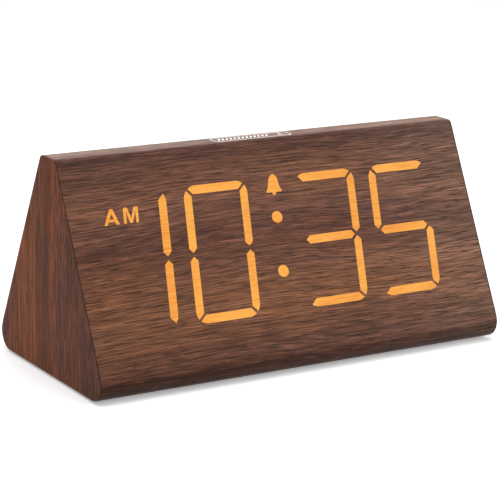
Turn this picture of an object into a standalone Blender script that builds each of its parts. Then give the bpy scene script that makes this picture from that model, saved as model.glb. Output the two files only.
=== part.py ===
"""Digital alarm clock in a walnut-film case of trapezoid section, piece by piece, in metres with +Z up.

The origin is the centre of the footprint on the standing surface. X runs along the case, and the display
faces -Y. The case is a folded MDF tube wrapped in film. The display module sits behind a window in the front
board, and the controls sit in a moulded panel let into the rear board.
"""

import math

import bmesh
import bpy
from mathutils import Matrix, Vector

# Fits and facets
FIT_GAP = 0.0003
OVERRUN = 0.002
ROUND_SIDES = 20
FINE_SIDES = 12
COARSE_SIDES = 8
DRIVER_SIDES = 6
ARC_STEPS = 5
SHARP_ANGLE = math.radians(30)

# Case
CASE_DEPTH = 0.104
CASE_HEIGHT = 0.0932
RIDGE_WIDTH = 0.013
RIDGE_RADIUS = 0.003
BASE_RADIUS = 0.0075
FILM = 0.0005
FILM_SEAM = 0.0004
BOARD = 0.007
END_BOARD = 0.008
SIDE_MARGIN = 0.01392
FOOT_HEIGHT = 0.0008
FOOT_RADIUS = 0.006
FOOT_EDGE = 0.0002
FOOT_INSET = 0.022

# Display: seven-segment digits that lean a little, two full columns a digit
COLUMN_PITCH = 0.0273
ROW_PITCH_SHARE = 0.2655
SEGMENT_WIDTH = 0.0037
SEGMENT_GAP = 0.00115
MIDDLE_SEGMENT_SHORT = 0.0003
DIGIT_RADIUS = 0.0056
DIGIT_SLANT = math.radians(6.66)
COLON_AT = -0.00323
COLON_TO_HOURS = 0.0152
COLON_TO_MINUTES = 0.01225
HALF_DIGIT_SPACE = 0.0122
DIGIT_SPACE = 0.0116
COLON_SPREAD_SHARE = 0.855
COLON_RADIUS = 0.00262
COLON_DROP = 0.0002
DAY_MARK_LENGTH = 0.0165
DAY_MARK_HEIGHT = 0.009
DAY_MARK_SPACE = 0.0072
DAY_MARK_UP_SHARE = 0.71
DAY_MARK_STEP = 0.0135
BELL_RADIUS = 0.0045
BELL_RIGHT = 0.0029
BELL_UP_SHARE = 0.925
DISPLAY_MARGIN = 0.0026
DISPLAY_RAISE_SHARE = 0.644
LENS_CLEARANCE = 0.00015
WELL_CLEARANCE = 0.00025
TILE = 0.001
REFLECTOR_DEPTH = 0.0075
FLANGE = 0.0015
EAR = 0.0052
BOARD_LIP = 0.0015
CIRCUIT_BOARD = 0.0016
LED_LENGTH = 0.0032
LED_WIDTH = 0.0016
LED_HEIGHT = 0.0008

# Screws
SCREW_HEAD_RADIUS = 0.0025
SCREW_HEAD_HEIGHT = 0.0012
SCREW_RADIUS = 0.0011
SCREW_BITE = 0.0035
SCREW_CLEARANCE = 0.00015
PILOT_SPARE = 0.0005
SCREW_RECESS = 0.0006
SCREW_RECESS_RADIUS = 0.0012

# Touch electrode under the ridge
TOUCH_PAD_LENGTH = 0.044
TOUCH_PAD = 0.0003

# Rear panel: a plate let into a rebate of the rear board, with a skirt that reaches through the opening
PANEL = 0.0022
PANEL_RECESS = 0.0003
PANEL_CORNER = 0.003
PANEL_RAISE_SHARE = 0.5
LEDGE = 0.006
SKIRT = 0.0015
SKIRT_REACH = 0.003
PANEL_MARGIN = 0.0018
CONNECTOR_DEPTH = 0.0119
BATTERY_SPACE = 0.005
ROW_SPACE = 0.003

# Push buttons and the switches under them
BUTTON_RADIUS = 0.0045
BUTTON_CLEARANCE = 0.0003
BUTTON_PROUD = 0.0013
BUTTON_TRAVEL = 0.0006
BUTTON_FLANGE = 0.0011
BUTTON_FLANGE_THICKNESS = 0.001
BUTTON_EDGE = 0.0004
BUTTON_DISH = 0.0003
BUTTON_DISH_EDGE = 0.0014
BUTTON_NAMES = ("time", "alarm", "minus", "plus")
BUTTON_PITCH = 0.015
BUTTON_INSET = 0.0064
STEM_RADIUS = 0.0016
STEM_REACH = 0.0016
PLUNGER_RADIUS = 0.0017
PLUNGER_CLEARANCE = 0.0002
SWITCH_BODY = 0.006
SWITCH_HEIGHT = 0.0035
SWITCH_BORE = 0.0022

# Alarm slide switch
SLIDER_SPACE = 0.019
SLIDER_LENGTH = 0.0036
SLIDER_WIDTH = 0.0028
SLIDER_PROUD = 0.0009
SLIDER_TRAVEL = 0.003
SLIDER_COVER = 0.0034
SLIDER_COVER_THICKNESS = 0.0008
SLIDER_COVER_SIDE = 0.0012
SLIDER_STEM_LENGTH = 0.0024
SLIDER_STEM_WIDTH = 0.002
SLIDER_SINK = 0.0018
SLIDE_BODY_LENGTH = 0.0096
SLIDE_BODY_WIDTH = 0.0054
SLIDE_BODY_HEIGHT = 0.0042
SLIDE_BODY_SLOT = 0.003

# Dimmer thumbwheel and its potentiometer
WHEEL_SPACE = 0.019
WHEEL_RADIUS = 0.006
WHEEL_WIDTH = 0.0026
WHEEL_SUNK = 0.005
WHEEL_TEETH = 24
WHEEL_TOOTH = 0.0004
WHEEL_CLEARANCE = 0.0004
POT_LENGTH = 0.009
POT_HEIGHT = 0.0046
POT_SHAFT = 0.0015
POT_SHAFT_CLEARANCE = 0.0001
POT_TOP = 0.0006
POT_SHAFT_END = 0.0005

# Sockets
USB_LENGTH = 0.0131
USB_WIDTH = 0.0057
USB_WALL = 0.00035
USB_TONGUE = 0.0018
USB_TONGUE_CLEARANCE = 0.0007
USB_TONGUE_SIDE = 0.0008
USB_TONGUE_SHORT = 0.0016
USB_BACK = 0.001
SOCKET_CLEARANCE = 0.0003
SOCKET_SPACE = 0.0055
DC_BODY = 0.0094
DC_COLLAR_RADIUS = 0.0039
DC_BORE_RADIUS = 0.00285
DC_BORE_DEPTH = 0.0095
DC_PIN_RADIUS = 0.00095
DC_PIN_SHORT = 0.0012

# Speaker and its grille
SPEAKER_SPACE = 0.0015
SPEAKER_RADIUS = 0.0125
SPEAKER_RIM = 0.0015
SPEAKER_BASKET = 0.0025
SPEAKER_MAGNET_RADIUS = 0.007
SPEAKER_MAGNET = 0.0035
SPEAKER_EDGE = 0.0015
SPEAKER_CONE_RADIUS = 0.003
SPEAKER_CONE_DEPTH = 0.0012
SPEAKER_COLLAR = 0.0012
SPEAKER_COLLAR_HEIGHT = 0.0025
GRILLE_HOLE_RADIUS = 0.0009
GRILLE_RING_PITCH = 0.0033
GRILLE_RINGS = 2
GRILLE_HOLES_A_RING = 6

# Battery compartment
CELL_RADIUS = 0.00525
CELL_LENGTH = 0.0445
CELL_NUB_RADIUS = 0.0019
CELL_NUB = 0.001
CELL_EDGE = 0.0005
CELL_ROOM = 0.0006
CONTACT = 0.0004
CONTACT_WIDTH = 0.008
SPRING_LENGTH = 0.005
SPRING_RADIUS = 0.003
SPRING_TIP_RADIUS = 0.002
SPRING_WIRE_RADIUS = 0.00025
SPRING_TURNS = 4
SPRING_POINTS_A_TURN = 10
SPRING_WIRE_RESOLUTION = 1
TRAY_WALL = 0.0015
DOOR = 0.002
DOOR_SUNK = 0.0001
DOOR_CLEARANCE = 0.0003
PIVOT_RADIUS = 0.0006
PIVOT_LENGTH = 0.0012
PIVOT_CLEARANCE = 0.0001
LATCH_WIDTH = 0.008
LATCH_THICKNESS = 0.001
LATCH_REACH = 0.0022
LATCH_INSET = 0.0006
THUMB_RADIUS = 0.005
THUMB_DEPTH = 0.0007

# Control board, leads and ribbon
POST_RADIUS = 0.0021
POST_PILOT = 0.006
BOARD_MARGIN = 0.0012
PLUG_LENGTH = 0.014
PLUG_WIDTH = 0.004
PLUG_HEIGHT = 0.003
RIBBON_WIDTH = 0.012
RIBBON = 0.0004
RIBBON_SAG = 0.012
RIBBON_POINTS = 14
LEAD_RADIUS = 0.0006
LEAD_SIDES = 6
LEAD_POINTS = 20
LEAD_PLUG = 0.004
LEAD_PLUG_HEIGHT = 0.0025
LEAD_RISE = 0.004
BATTERY_PLUG_IN = 0.007
BATTERY_LEAD_IN = 0.006
TOUCH_PLUG_SPACE = 0.0035
TOUCH_LEAD_ASIDE = 0.0065

# Worked out from the sizes above
SLOPE_RUN = (CASE_DEPTH - RIDGE_WIDTH) / 2
SLOPE_LENGTH = math.hypot(SLOPE_RUN, CASE_HEIGHT)
SLOPE = math.atan2(CASE_HEIGHT, SLOPE_RUN)
BODY_BASE = FOOT_HEIGHT + FIT_GAP
SKIN = FILM + FIT_GAP
BOARD_BACK = SKIN + BOARD
INNER_LOW = BOARD_BACK / math.tan(SLOPE / 2)
INNER_HIGH = SLOPE_LENGTH - BOARD_BACK * math.tan(SLOPE / 2)
INNER_RIDGE = RIDGE_WIDTH - 2 * BOARD_BACK * math.tan(SLOPE / 2)

ROW_PITCH = ROW_PITCH_SHARE * SLOPE_LENGTH
COLON_SPREAD = COLON_SPREAD_SHARE * ROW_PITCH
DAY_MARK_UP = DAY_MARK_UP_SHARE * ROW_PITCH
BELL_UP = BELL_UP_SHARE * ROW_PITCH
DIGIT_HEIGHT = 2 * ROW_PITCH + SEGMENT_WIDTH
DISPLAY_HEIGHT = DIGIT_HEIGHT + 2 * DISPLAY_MARGIN
MODULE_HEIGHT = DISPLAY_HEIGHT + 2 * EAR
DISPLAY_UP = INNER_LOW + MODULE_HEIGHT / 2 + DISPLAY_RAISE_SHARE * (INNER_HIGH - INNER_LOW - MODULE_HEIGHT)
SLANT = math.tan(DIGIT_SLANT)
HOUR_ONES_LEFT = COLON_AT - COLON_TO_HOURS - COLUMN_PITCH
HOUR_TENS_COLUMN = HOUR_ONES_LEFT - HALF_DIGIT_SPACE
MINUTE_TENS_LEFT = COLON_AT + COLON_TO_MINUTES
MINUTE_ONES_LEFT = MINUTE_TENS_LEFT + COLUMN_PITCH + DIGIT_SPACE
DAY_MARK_AT = HOUR_TENS_COLUMN - DAY_MARK_SPACE - SEGMENT_WIDTH / 2 - DAY_MARK_LENGTH / 2
WINDOW_LEFT = DAY_MARK_AT - DAY_MARK_LENGTH / 2 - DISPLAY_MARGIN
WINDOW_RIGHT = MINUTE_ONES_LEFT + COLUMN_PITCH + SLANT * ROW_PITCH + SEGMENT_WIDTH / 2 + 2 * DISPLAY_MARGIN
WINDOW_LOW = -DISPLAY_HEIGHT / 2
WINDOW_HIGH = DISPLAY_HEIGHT / 2
CASE_LENGTH = 2 * (max(-WINDOW_LEFT, WINDOW_RIGHT) + SIDE_MARGIN)
TILE_FRONT = SKIN
TILE_BACK = TILE_FRONT + TILE
REFLECTOR_FRONT = TILE_BACK + FIT_GAP
FLANGE_FRONT = BOARD_BACK + FIT_GAP
REFLECTOR_BACK = max(REFLECTOR_FRONT + REFLECTOR_DEPTH, FLANGE_FRONT + FLANGE)
DISPLAY_BOARD_FRONT = REFLECTOR_BACK + FIT_GAP
DISPLAY_BOARD_BACK = DISPLAY_BOARD_FRONT + CIRCUIT_BOARD

PANEL_FRONT = PANEL_RECESS
PANEL_BACK = PANEL_RECESS + PANEL
LEDGE_FRONT = PANEL_BACK + FIT_GAP
EDGE = LEDGE + FIT_GAP + SKIRT
TRAY_LENGTH = CELL_LENGTH + SPRING_LENGTH + 2 * CONTACT + 5 * FIT_GAP
TRAY_HEIGHT = 4 * CELL_RADIUS + 3 * CELL_ROOM
TRAY_DEPTH = 2 * CELL_RADIUS + 2 * CELL_ROOM
FLANGE_RADIUS = BUTTON_RADIUS + BUTTON_FLANGE
SPEAKER_OUTER = SPEAKER_RADIUS + FIT_GAP + SPEAKER_COLLAR
PANEL_HEIGHT = 2 * (EDGE + PANEL_MARGIN + TRAY_WALL + FLANGE_RADIUS) + TRAY_HEIGHT + ROW_SPACE
SOCKET_ROW = 2 * TRAY_WALL + TRAY_LENGTH + BATTERY_SPACE + USB_LENGTH + SOCKET_SPACE + DC_BODY
BUTTONS_LENGTH = (len(BUTTON_NAMES) - 1) * BUTTON_PITCH
BUTTON_ROW = TRAY_WALL + BUTTON_INSET + BUTTONS_LENGTH + SLIDER_SPACE + WHEEL_SPACE + POT_LENGTH / 2
ROWS = max(SOCKET_ROW, BUTTON_ROW)
PANEL_LENGTH = 2 * (EDGE + PANEL_MARGIN + SPEAKER_OUTER) + ROWS + SPEAKER_SPACE
PANEL_UP = INNER_LOW + PANEL_HEIGHT / 2 + PANEL_RAISE_SHARE * (INNER_HIGH - INNER_LOW - PANEL_HEIGHT)
TRAY_AT = -PANEL_LENGTH / 2 + EDGE + PANEL_MARGIN + TRAY_WALL + TRAY_LENGTH / 2
TRAY_UP = -PANEL_HEIGHT / 2 + EDGE + PANEL_MARGIN + TRAY_WALL + TRAY_HEIGHT / 2
TRAY_RIGHT = TRAY_AT + TRAY_LENGTH / 2 + TRAY_WALL
TRAY_TOP = TRAY_UP + TRAY_HEIGHT / 2 + TRAY_WALL
TRAY_FRONT = PANEL_BACK + FIT_GAP
CELL_DEPTH = TRAY_FRONT + CELL_ROOM + CELL_RADIUS
USB_AT = TRAY_RIGHT + BATTERY_SPACE + USB_LENGTH / 2
DC_AT = USB_AT + USB_LENGTH / 2 + SOCKET_SPACE + DC_BODY / 2
SPEAKER_AT = PANEL_LENGTH / 2 - EDGE - PANEL_MARGIN - SPEAKER_OUTER
BUTTON_UP = TRAY_TOP + ROW_SPACE + FLANGE_RADIUS
FIRST_BUTTON = TRAY_AT - TRAY_LENGTH / 2 + BUTTON_INSET
BUTTON_PLACES = [FIRST_BUTTON + i * BUTTON_PITCH for i in range(len(BUTTON_NAMES))]
SLIDER_AT = BUTTON_PLACES[-1] + SLIDER_SPACE
WHEEL_AT = SLIDER_AT + WHEEL_SPACE
RIBBON_AT = -SLIDER_AT
TOUCH_PLUG_AT = SLIDER_AT + PLUG_LENGTH / 2 + TOUCH_PLUG_SPACE + LEAD_PLUG / 2
TOUCH_LEAD_AT = TOUCH_PLUG_AT - TOUCH_LEAD_ASIDE
CONTROL_FRONT = PANEL_RECESS + CONNECTOR_DEPTH + FIT_GAP
CONTROL_BACK = CONTROL_FRONT + CIRCUIT_BOARD
SOCKET_BACK = CONTROL_FRONT - FIT_GAP
SLIDER_COVER_LEFT = SLIDER_AT - SLIDER_TRAVEL / 2 - SLIDER_LENGTH / 2 - SLIDER_COVER
POST_PLACES = [((BUTTON_PLACES[-1] + FLANGE_RADIUS + SLIDER_COVER_LEFT) / 2, BUTTON_UP),
               (USB_AT + USB_LENGTH / 2 + SOCKET_SPACE / 2, TRAY_UP)]
DOOR_AXIS_DEPTH = PANEL_RECESS + DOOR_SUNK + DOOR / 2
DOOR_LOW = TRAY_UP - TRAY_HEIGHT / 2 + DOOR_CLEARANCE + DOOR / 2


# Outlines: lists of points in a plane

def circle(radius, centre=(0, 0), sides=ROUND_SIDES):
    turn = 2 * math.pi / sides
    return [(centre[0] + radius * math.cos(i * turn), centre[1] + radius * math.sin(i * turn))
            for i in range(sides)]


def rectangle(length, height, centre=(0, 0)):
    x, y = length / 2, height / 2
    corners = ((-x, -y), (x, -y), (x, y), (-x, y))
    return [(centre[0] + a, centre[1] + b) for a, b in corners]


def corner_angle(before, corner, after):
    """Directions from a corner to its neighbours, as unit vectors, and half the angle between them."""
    first = (Vector(before) - Vector(corner)).normalized()
    second = (Vector(after) - Vector(corner)).normalized()
    return first, second, first.angle(second) / 2


def rounded(corners, radii, steps=ARC_STEPS):
    """An outline with each corner turned into an arc of its radius."""
    points = []
    count = len(corners)
    for i, radius in enumerate(radii):
        corner = Vector(corners[i])
        first, second, half = corner_angle(corners[i - 1], corner, corners[(i + 1) % count])
        middle = corner + (first + second).normalized() * radius / math.sin(half)
        start = corner + first * radius / math.tan(half) - middle
        sweep = start.angle_signed(corner + second * radius / math.tan(half) - middle)
        for step in range(steps + 1):
            turned_by = Matrix.Rotation(-sweep * step / steps, 2)
            points.append(tuple(middle + turned_by @ start))
    return points


def rounded_rectangle(length, height, radius, centre=(0, 0)):
    return rounded(rectangle(length, height, centre), [radius] * 4)


def area_sign(outline):
    total = 0
    for i, (x, y) in enumerate(outline):
        total += outline[i - 1][0] * y - x * outline[i - 1][1]
    return math.copysign(1, total)


def grown(outline, distance):
    """A convex outline with every side moved out by a distance."""
    side = area_sign(outline)
    count = len(outline)
    points = []
    for i in range(count):
        corner = Vector(outline[i])
        first = (corner - Vector(outline[i - 1])).normalized()
        second = (Vector(outline[(i + 1) % count]) - corner).normalized()
        normals = [Vector((side * way.y, -side * way.x)) for way in (first, second)]
        middle = (normals[0] + normals[1]).normalized()
        points.append(tuple(corner + middle * distance / middle.dot(normals[0])))
    return points


def clipped(outline, point, normal):
    """The part of a convex outline that lies on the normal's side of a line."""
    point, normal = Vector(point), Vector(normal)
    kept = []
    for i, end in enumerate(outline):
        start, end = Vector(outline[i - 1]), Vector(end)
        before, after = (start - point).dot(normal), (end - point).dot(normal)
        if (before < 0) != (after < 0):
            kept.append(tuple(start.lerp(end, before / (before - after))))
        if after >= 0:
            kept.append(tuple(end))
    return kept


# Solids: closed meshes built from loops, walls between loops and faces filled between loops

def add_loop(bm, outline, level):
    return [bm.verts.new((x, y, level)) for x, y in outline]


def add_wall(bm, first, second):
    for i in range(len(first)):
        bm.faces.new((first[i - 1], first[i], second[i], second[i - 1]))


def add_face(bm, outer, inner):
    if not inner:
        bm.faces.new(outer)
        return
    edges = []
    for loop in [outer, *inner]:
        for i, vert in enumerate(loop):
            edges.append(bm.edges.get((loop[i - 1], vert)) or bm.edges.new((loop[i - 1], vert)))
    bmesh.ops.triangle_fill(bm, use_beauty=True, edges=edges)


def step(outline, to, inside=()):
    """A boss or pocket: the face inside the outline lies at another level, with features of its own."""
    return {"outline": outline, "to": to, "inside": inside}


def hole(outline):
    """A hole right through, named among both the top and the bottom features."""
    return {"outline": outline}


def close_face(bm, boundary, level, features, holes):
    inner = []
    for feature in features:
        loop = add_loop(bm, feature["outline"], level)
        inner.append(loop)
        if "to" in feature:
            moved = add_loop(bm, feature["outline"], feature["to"])
            add_wall(bm, loop, moved)
            close_face(bm, moved, feature["to"], feature["inside"], holes)
        else:
            holes.setdefault(id(feature), []).append(loop)
    add_face(bm, boundary, inner)


def solid(outline, low, high, top=(), bottom=(), low_outline=None):
    """A closed solid between two levels, with bosses, pockets and holes on its two faces."""
    bm = bmesh.new()
    holes = {}
    upper = add_loop(bm, outline, high)
    lower = add_loop(bm, low_outline or outline, low)
    add_wall(bm, upper, lower)
    close_face(bm, upper, high, top, holes)
    close_face(bm, lower, low, bottom, holes)
    for first, second in holes.values():
        add_wall(bm, first, second)
    bmesh.ops.recalc_face_normals(bm, faces=bm.faces)
    return bm


def stack(sections):
    """A solid through outlines at rising levels, closed at both ends."""
    bm = bmesh.new()
    loops = [add_loop(bm, outline, level) for outline, level in sections]
    for first, second in zip(loops, loops[1:]):
        add_wall(bm, first, second)
    bm.faces.new(loops[0])
    bm.faces.new(loops[-1])
    bmesh.ops.recalc_face_normals(bm, faces=bm.faces)
    return bm


def turned(profile, sides=ROUND_SIDES):
    """A solid of revolution about z, through (radius, level) pairs."""
    return stack([(circle(radius, sides=sides), level) for radius, level in profile])


def prisms(outlines, low, high):
    """Separate prisms in one mesh, for a cutter."""
    bm = bmesh.new()
    for outline in outlines:
        upper, lower = add_loop(bm, outline, high), add_loop(bm, outline, low)
        add_wall(bm, upper, lower)
        bm.faces.new(upper)
        bm.faces.new(lower)
    bmesh.ops.recalc_face_normals(bm, faces=bm.faces)
    return bm


def strip(outer, inner, low, high):
    """A bent sheet: two lines of points in a plane, drawn out between two levels."""
    bm = bmesh.new()
    rows = [add_loop(bm, line, level) for level in (low, high) for line in (outer, inner)]
    outer_low, inner_low, outer_high, inner_high = rows
    for i in range(1, len(outer)):
        bm.faces.new((outer_low[i - 1], outer_low[i], outer_high[i], outer_high[i - 1]))
        bm.faces.new((inner_low[i - 1], inner_low[i], inner_high[i], inner_high[i - 1]))
        bm.faces.new((outer_low[i - 1], outer_low[i], inner_low[i], inner_low[i - 1]))
        bm.faces.new((outer_high[i - 1], outer_high[i], inner_high[i], inner_high[i - 1]))
    for end in (0, -1):
        bm.faces.new((outer_low[end], inner_low[end], inner_high[end], outer_high[end]))
    bmesh.ops.recalc_face_normals(bm, faces=bm.faces)
    return bm


# Objects

def finish(name, colour, roughness, metallic):
    material = bpy.data.materials.new(name)
    material.use_nodes = True
    shader = material.node_tree.nodes["Principled BSDF"]
    shader.inputs["Base Color"].default_value = (*colour, 1)
    shader.inputs["Roughness"].default_value = roughness
    shader.inputs["Metallic"].default_value = metallic
    material.diffuse_color = (*colour, 1)
    return material


LOOKS = {
    "fibreboard": ((0.28, 0.19, 0.11), 0.9, 0.0),
    "walnut_film": ((0.15, 0.075, 0.045), 0.55, 0.0),
    "lit_window": ((0.95, 0.42, 0.08), 0.4, 0.0),
    "white_plastic": ((0.8, 0.8, 0.78), 0.5, 0.0),
    "black_plastic": ((0.02, 0.02, 0.022), 0.45, 0.0),
    "grey_plastic": ((0.12, 0.12, 0.125), 0.45, 0.0),
    "circuit_green": ((0.02, 0.16, 0.06), 0.5, 0.0),
    "rubber": ((0.03, 0.03, 0.03), 0.85, 0.0),
    "steel": ((0.55, 0.55, 0.56), 0.35, 1.0),
    "copper": ((0.72, 0.32, 0.18), 0.3, 1.0),
    "cell_jacket": ((0.06, 0.18, 0.42), 0.35, 0.0),
    "cable": ((0.5, 0.5, 0.5), 0.5, 0.0),
}


def place(name, bm, look, frame=None, parent=None):
    """An object from a mesh, standing in its frame, with a material of its own."""
    mesh = bpy.data.meshes.new(name)
    bm.to_mesh(mesh)
    bm.free()
    mesh.shade_smooth()
    mesh.set_sharp_from_angle(angle=SHARP_ANGLE)
    thing = bpy.data.objects.new(name, mesh)
    bpy.context.collection.objects.link(thing)
    thing.data.materials.append(finish(name, *LOOKS[look]))
    thing.matrix_world = frame or Matrix.Identity(4)
    if parent:
        thing.parent = parent
        thing.matrix_parent_inverse = parent.matrix_world.inverted()
    return thing


def combine(target, bm, frame, operation="DIFFERENCE"):
    """Cut a mesh from an object, or join it on, with a Boolean that stays live."""
    count = len(target.modifiers)
    cutter = place(f"{target.name}_tool_{count}", bm, "grey_plastic", frame)
    cutter.hide_render = True
    cutter.display_type = "WIRE"
    modifier = target.modifiers.new(cutter.name, "BOOLEAN")
    modifier.object = cutter
    modifier.operation = operation
    modifier.solver = "EXACT"


def slope_frame(side, up=0.0, along=0.0, out=0.0):
    """Frame on a sloping face: x along it, y up it, z outwards. Side is -1 at the front, 1 at the rear."""
    x_way = Vector((-side, 0, 0))
    y_way = Vector((0, -side * math.cos(SLOPE), math.sin(SLOPE)))
    z_way = x_way.cross(y_way)
    frame = Matrix((x_way, y_way, z_way)).transposed().to_4x4()
    corner = Vector((0, side * CASE_DEPTH / 2, BODY_BASE))
    frame.translation = corner + x_way * along + y_way * up + z_way * out
    return frame


# Frame whose z runs along the case, so that outlines are drawn in the (y, z) section
SECTION_FRAME = Matrix(((0, 0, 1, 0), (1, 0, 0, 0), (0, 1, 0, BODY_BASE), (0, 0, 0, 1)))
DISPLAY_FRAME = slope_frame(-1, DISPLAY_UP)
PANEL_FRAME = slope_frame(1, PANEL_UP)


def turned_about(frame, axis, degrees):
    return frame @ Matrix.Rotation(math.radians(degrees), 4, axis)


def on_panel(along, up, depth):
    return PANEL_FRAME @ Matrix.Translation((along, up, -depth))


# Case

CASE_CORNERS = [(-CASE_DEPTH / 2, 0), (CASE_DEPTH / 2, 0), (RIDGE_WIDTH / 2, CASE_HEIGHT),
                (-RIDGE_WIDTH / 2, CASE_HEIGHT)]
CASE_RADII = [BASE_RADIUS, BASE_RADIUS, RIDGE_RADIUS, RIDGE_RADIUS]


def case_section(depth):
    """The case's section at a depth under its outer face."""
    return rounded(grown(CASE_CORNERS, -depth), [radius - depth for radius in CASE_RADII])


def board_section(side):
    """Section of the folded strip on one side of the case, between the mitres at its two corners."""
    before, start, end, after = (Vector(CASE_CORNERS[(side + i) % 4]) for i in (-1, 0, 1, 2))
    way = (end - start).normalized()
    inward = Vector((-way.y, way.x))
    outline = clipped(case_section(SKIN), start + inward * BOARD_BACK, -inward)
    for corner, neighbour, along in ((start, before, way), (end, after, -way)):
        bisector = (along + (neighbour - corner).normalized()).normalized()
        square = (along - bisector * along.dot(bisector)).normalized()
        outline = clipped(outline, corner + square * FIT_GAP / 2, square)
    return outline


def panel_rebate():
    """Outline of the rebate that the rear panel is let into."""
    return rounded_rectangle(PANEL_LENGTH + 2 * FIT_GAP, PANEL_HEIGHT + 2 * FIT_GAP, PANEL_CORNER + FIT_GAP)


def screw_circle(spot):
    """Outline of a hole for a screw's shank."""
    return circle(SCREW_RADIUS + SCREW_CLEARANCE, spot, FINE_SIDES)


def make_boards():
    reach = CASE_LENGTH / 2 - SKIN
    names = ("base_board", "rear_board", "ridge_board", "front_board")
    boards = {}
    for side, name in enumerate(names):
        boards[name] = place(name, solid(board_section(side), -reach, reach), "fibreboard", SECTION_FRAME)
    window = rectangle(WINDOW_RIGHT - WINDOW_LEFT, DISPLAY_HEIGHT, ((WINDOW_LEFT + WINDOW_RIGHT) / 2, 0))
    pilots = [screw_circle(spot) for spot in display_screw_places()]
    front = boards["front_board"]
    combine(front, prisms([window], -BOARD_BACK - OVERRUN, OVERRUN), DISPLAY_FRAME)
    pilot_end = SCREW_BITE + PILOT_SPARE
    combine(front, prisms(pilots, -BOARD_BACK - OVERRUN, -BOARD_BACK + pilot_end), DISPLAY_FRAME)
    rear = boards["rear_board"]
    opening = rectangle(PANEL_LENGTH - 2 * LEDGE, PANEL_HEIGHT - 2 * LEDGE)
    pilots = [screw_circle(spot) for spot in panel_screw_places()]
    combine(rear, prisms([opening], -BOARD_BACK - OVERRUN, OVERRUN), PANEL_FRAME)
    combine(rear, prisms([panel_rebate()], -LEDGE_FRONT, OVERRUN), PANEL_FRAME)
    combine(rear, prisms(pilots, -LEDGE_FRONT - pilot_end, OVERRUN), PANEL_FRAME)


def make_ends():
    inner = grown(CASE_CORNERS, -FLANGE_FRONT)
    for side, name in ((-1, "left"), (1, "right")):
        faces = sorted((side * (CASE_LENGTH / 2 - SKIN), side * (CASE_LENGTH / 2 - SKIN - END_BOARD)))
        place(f"{name}_end_board", solid(inner, *faces), "fibreboard", SECTION_FRAME)
        faces = sorted((side * CASE_LENGTH / 2, side * (CASE_LENGTH / 2 - FILM)))
        place(f"{name}_end_veneer", solid(case_section(0), *faces), "walnut_film", SECTION_FRAME)


def open_line(section):
    """A case section as a line that starts and ends at the seam, in the middle of the underside."""
    start = ARC_STEPS + 1
    level = section[start][1]
    around = section[start:] + section[:start]
    return [(FILM_SEAM / 2, level), *around, (-FILM_SEAM / 2, level)]


def make_wrap():
    reach = CASE_LENGTH / 2 - SKIN
    sheet = strip(open_line(case_section(0)), open_line(case_section(FILM)), -reach, reach)
    wrap = place("walnut_wrap", sheet, "walnut_film", SECTION_FRAME)
    lit = [grown(outline, LENS_CLEARANCE) for tile in TILES.values() for outline in tile["lit"]]
    combine(wrap, prisms(lit, -FILM - OVERRUN, OVERRUN), DISPLAY_FRAME)
    combine(wrap, prisms([panel_rebate()], -FILM - OVERRUN, OVERRUN), PANEL_FRAME)


def make_feet():
    sections = [(FOOT_RADIUS - FOOT_EDGE, 0), (FOOT_RADIUS, FOOT_EDGE), (FOOT_RADIUS, FOOT_HEIGHT)]
    for x_side, x_name in ((-1, "left"), (1, "right")):
        for y_side, y_name in ((-1, "front"), (1, "rear")):
            spot = (x_side * (CASE_LENGTH / 2 - FOOT_INSET), y_side * (CASE_DEPTH / 2 - FOOT_INSET), 0)
            place(f"foot_{y_name}_{x_name}", turned(sections), "rubber", Matrix.Translation(spot))


# Display

def corner_end():
    """Half of a segment's end at a digit's corner, from its outer side round to its inner side."""
    half, radius = SEGMENT_WIDTH / 2, DIGIT_RADIUS
    reach = SEGMENT_GAP / math.sqrt(2)
    tip = math.radians(45) - math.asin(SEGMENT_GAP / (2 * radius))
    arc = [tip * i / ARC_STEPS for i in range(ARC_STEPS + 1)]
    points = [(half - radius + radius * math.cos(a), half - radius + radius * math.sin(a)) for a in arc]
    return [*points, (-half, -half - reach)]


def middle_end():
    """The pointed end of a segment where it meets the middle one."""
    half = SEGMENT_WIDTH / 2
    reach = SEGMENT_GAP / math.sqrt(2)
    return [(half, -half - reach), (0, -reach), (-half, -half - reach)]


def segment(length, first_end, second_end):
    """Outline of a segment as (across, along), between the centres of its two ends."""
    first = [(across, length / 2 + along) for across, along in first_end]
    second = [(across, -length / 2 - along) for across, along in reversed(second_end)]
    return first + second


def digit_segments(letters, left, half_digit=False):
    """Slanted outlines of the lettered segments of a digit whose left column stands at the given place."""
    upright = segment(ROW_PITCH, corner_end(), middle_end())
    level = segment(COLUMN_PITCH, corner_end(), corner_end())
    middle = segment(COLUMN_PITCH - 2 * MIDDLE_SEGMENT_SHORT, middle_end(), middle_end())
    right = left if half_digit else left + COLUMN_PITCH
    centre = left + COLUMN_PITCH / 2
    shapes = {
        "a": [(centre + along, ROW_PITCH + across) for across, along in level],
        "b": [(right + across, ROW_PITCH / 2 + along) for across, along in upright],
        "c": [(right + across, -ROW_PITCH / 2 - along) for across, along in upright],
        "d": [(centre + along, -ROW_PITCH - across) for across, along in level],
        "e": [(left - across, -ROW_PITCH / 2 - along) for across, along in upright],
        "f": [(left - across, ROW_PITCH / 2 + along) for across, along in upright],
        "g": [(centre + along, across) for across, along in middle],
    }
    return [leaning(shapes[letter]) for letter in letters]


def leaning(outline):
    return [(x + SLANT * y, y) for x, y in outline]


def colon_dots():
    spots = [(COLON_AT, way * COLON_SPREAD / 2 - COLON_DROP) for way in (1, -1)]
    return [circle(COLON_RADIUS, leaning([spot])[0], ROUND_SIDES) for spot in spots]


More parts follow.
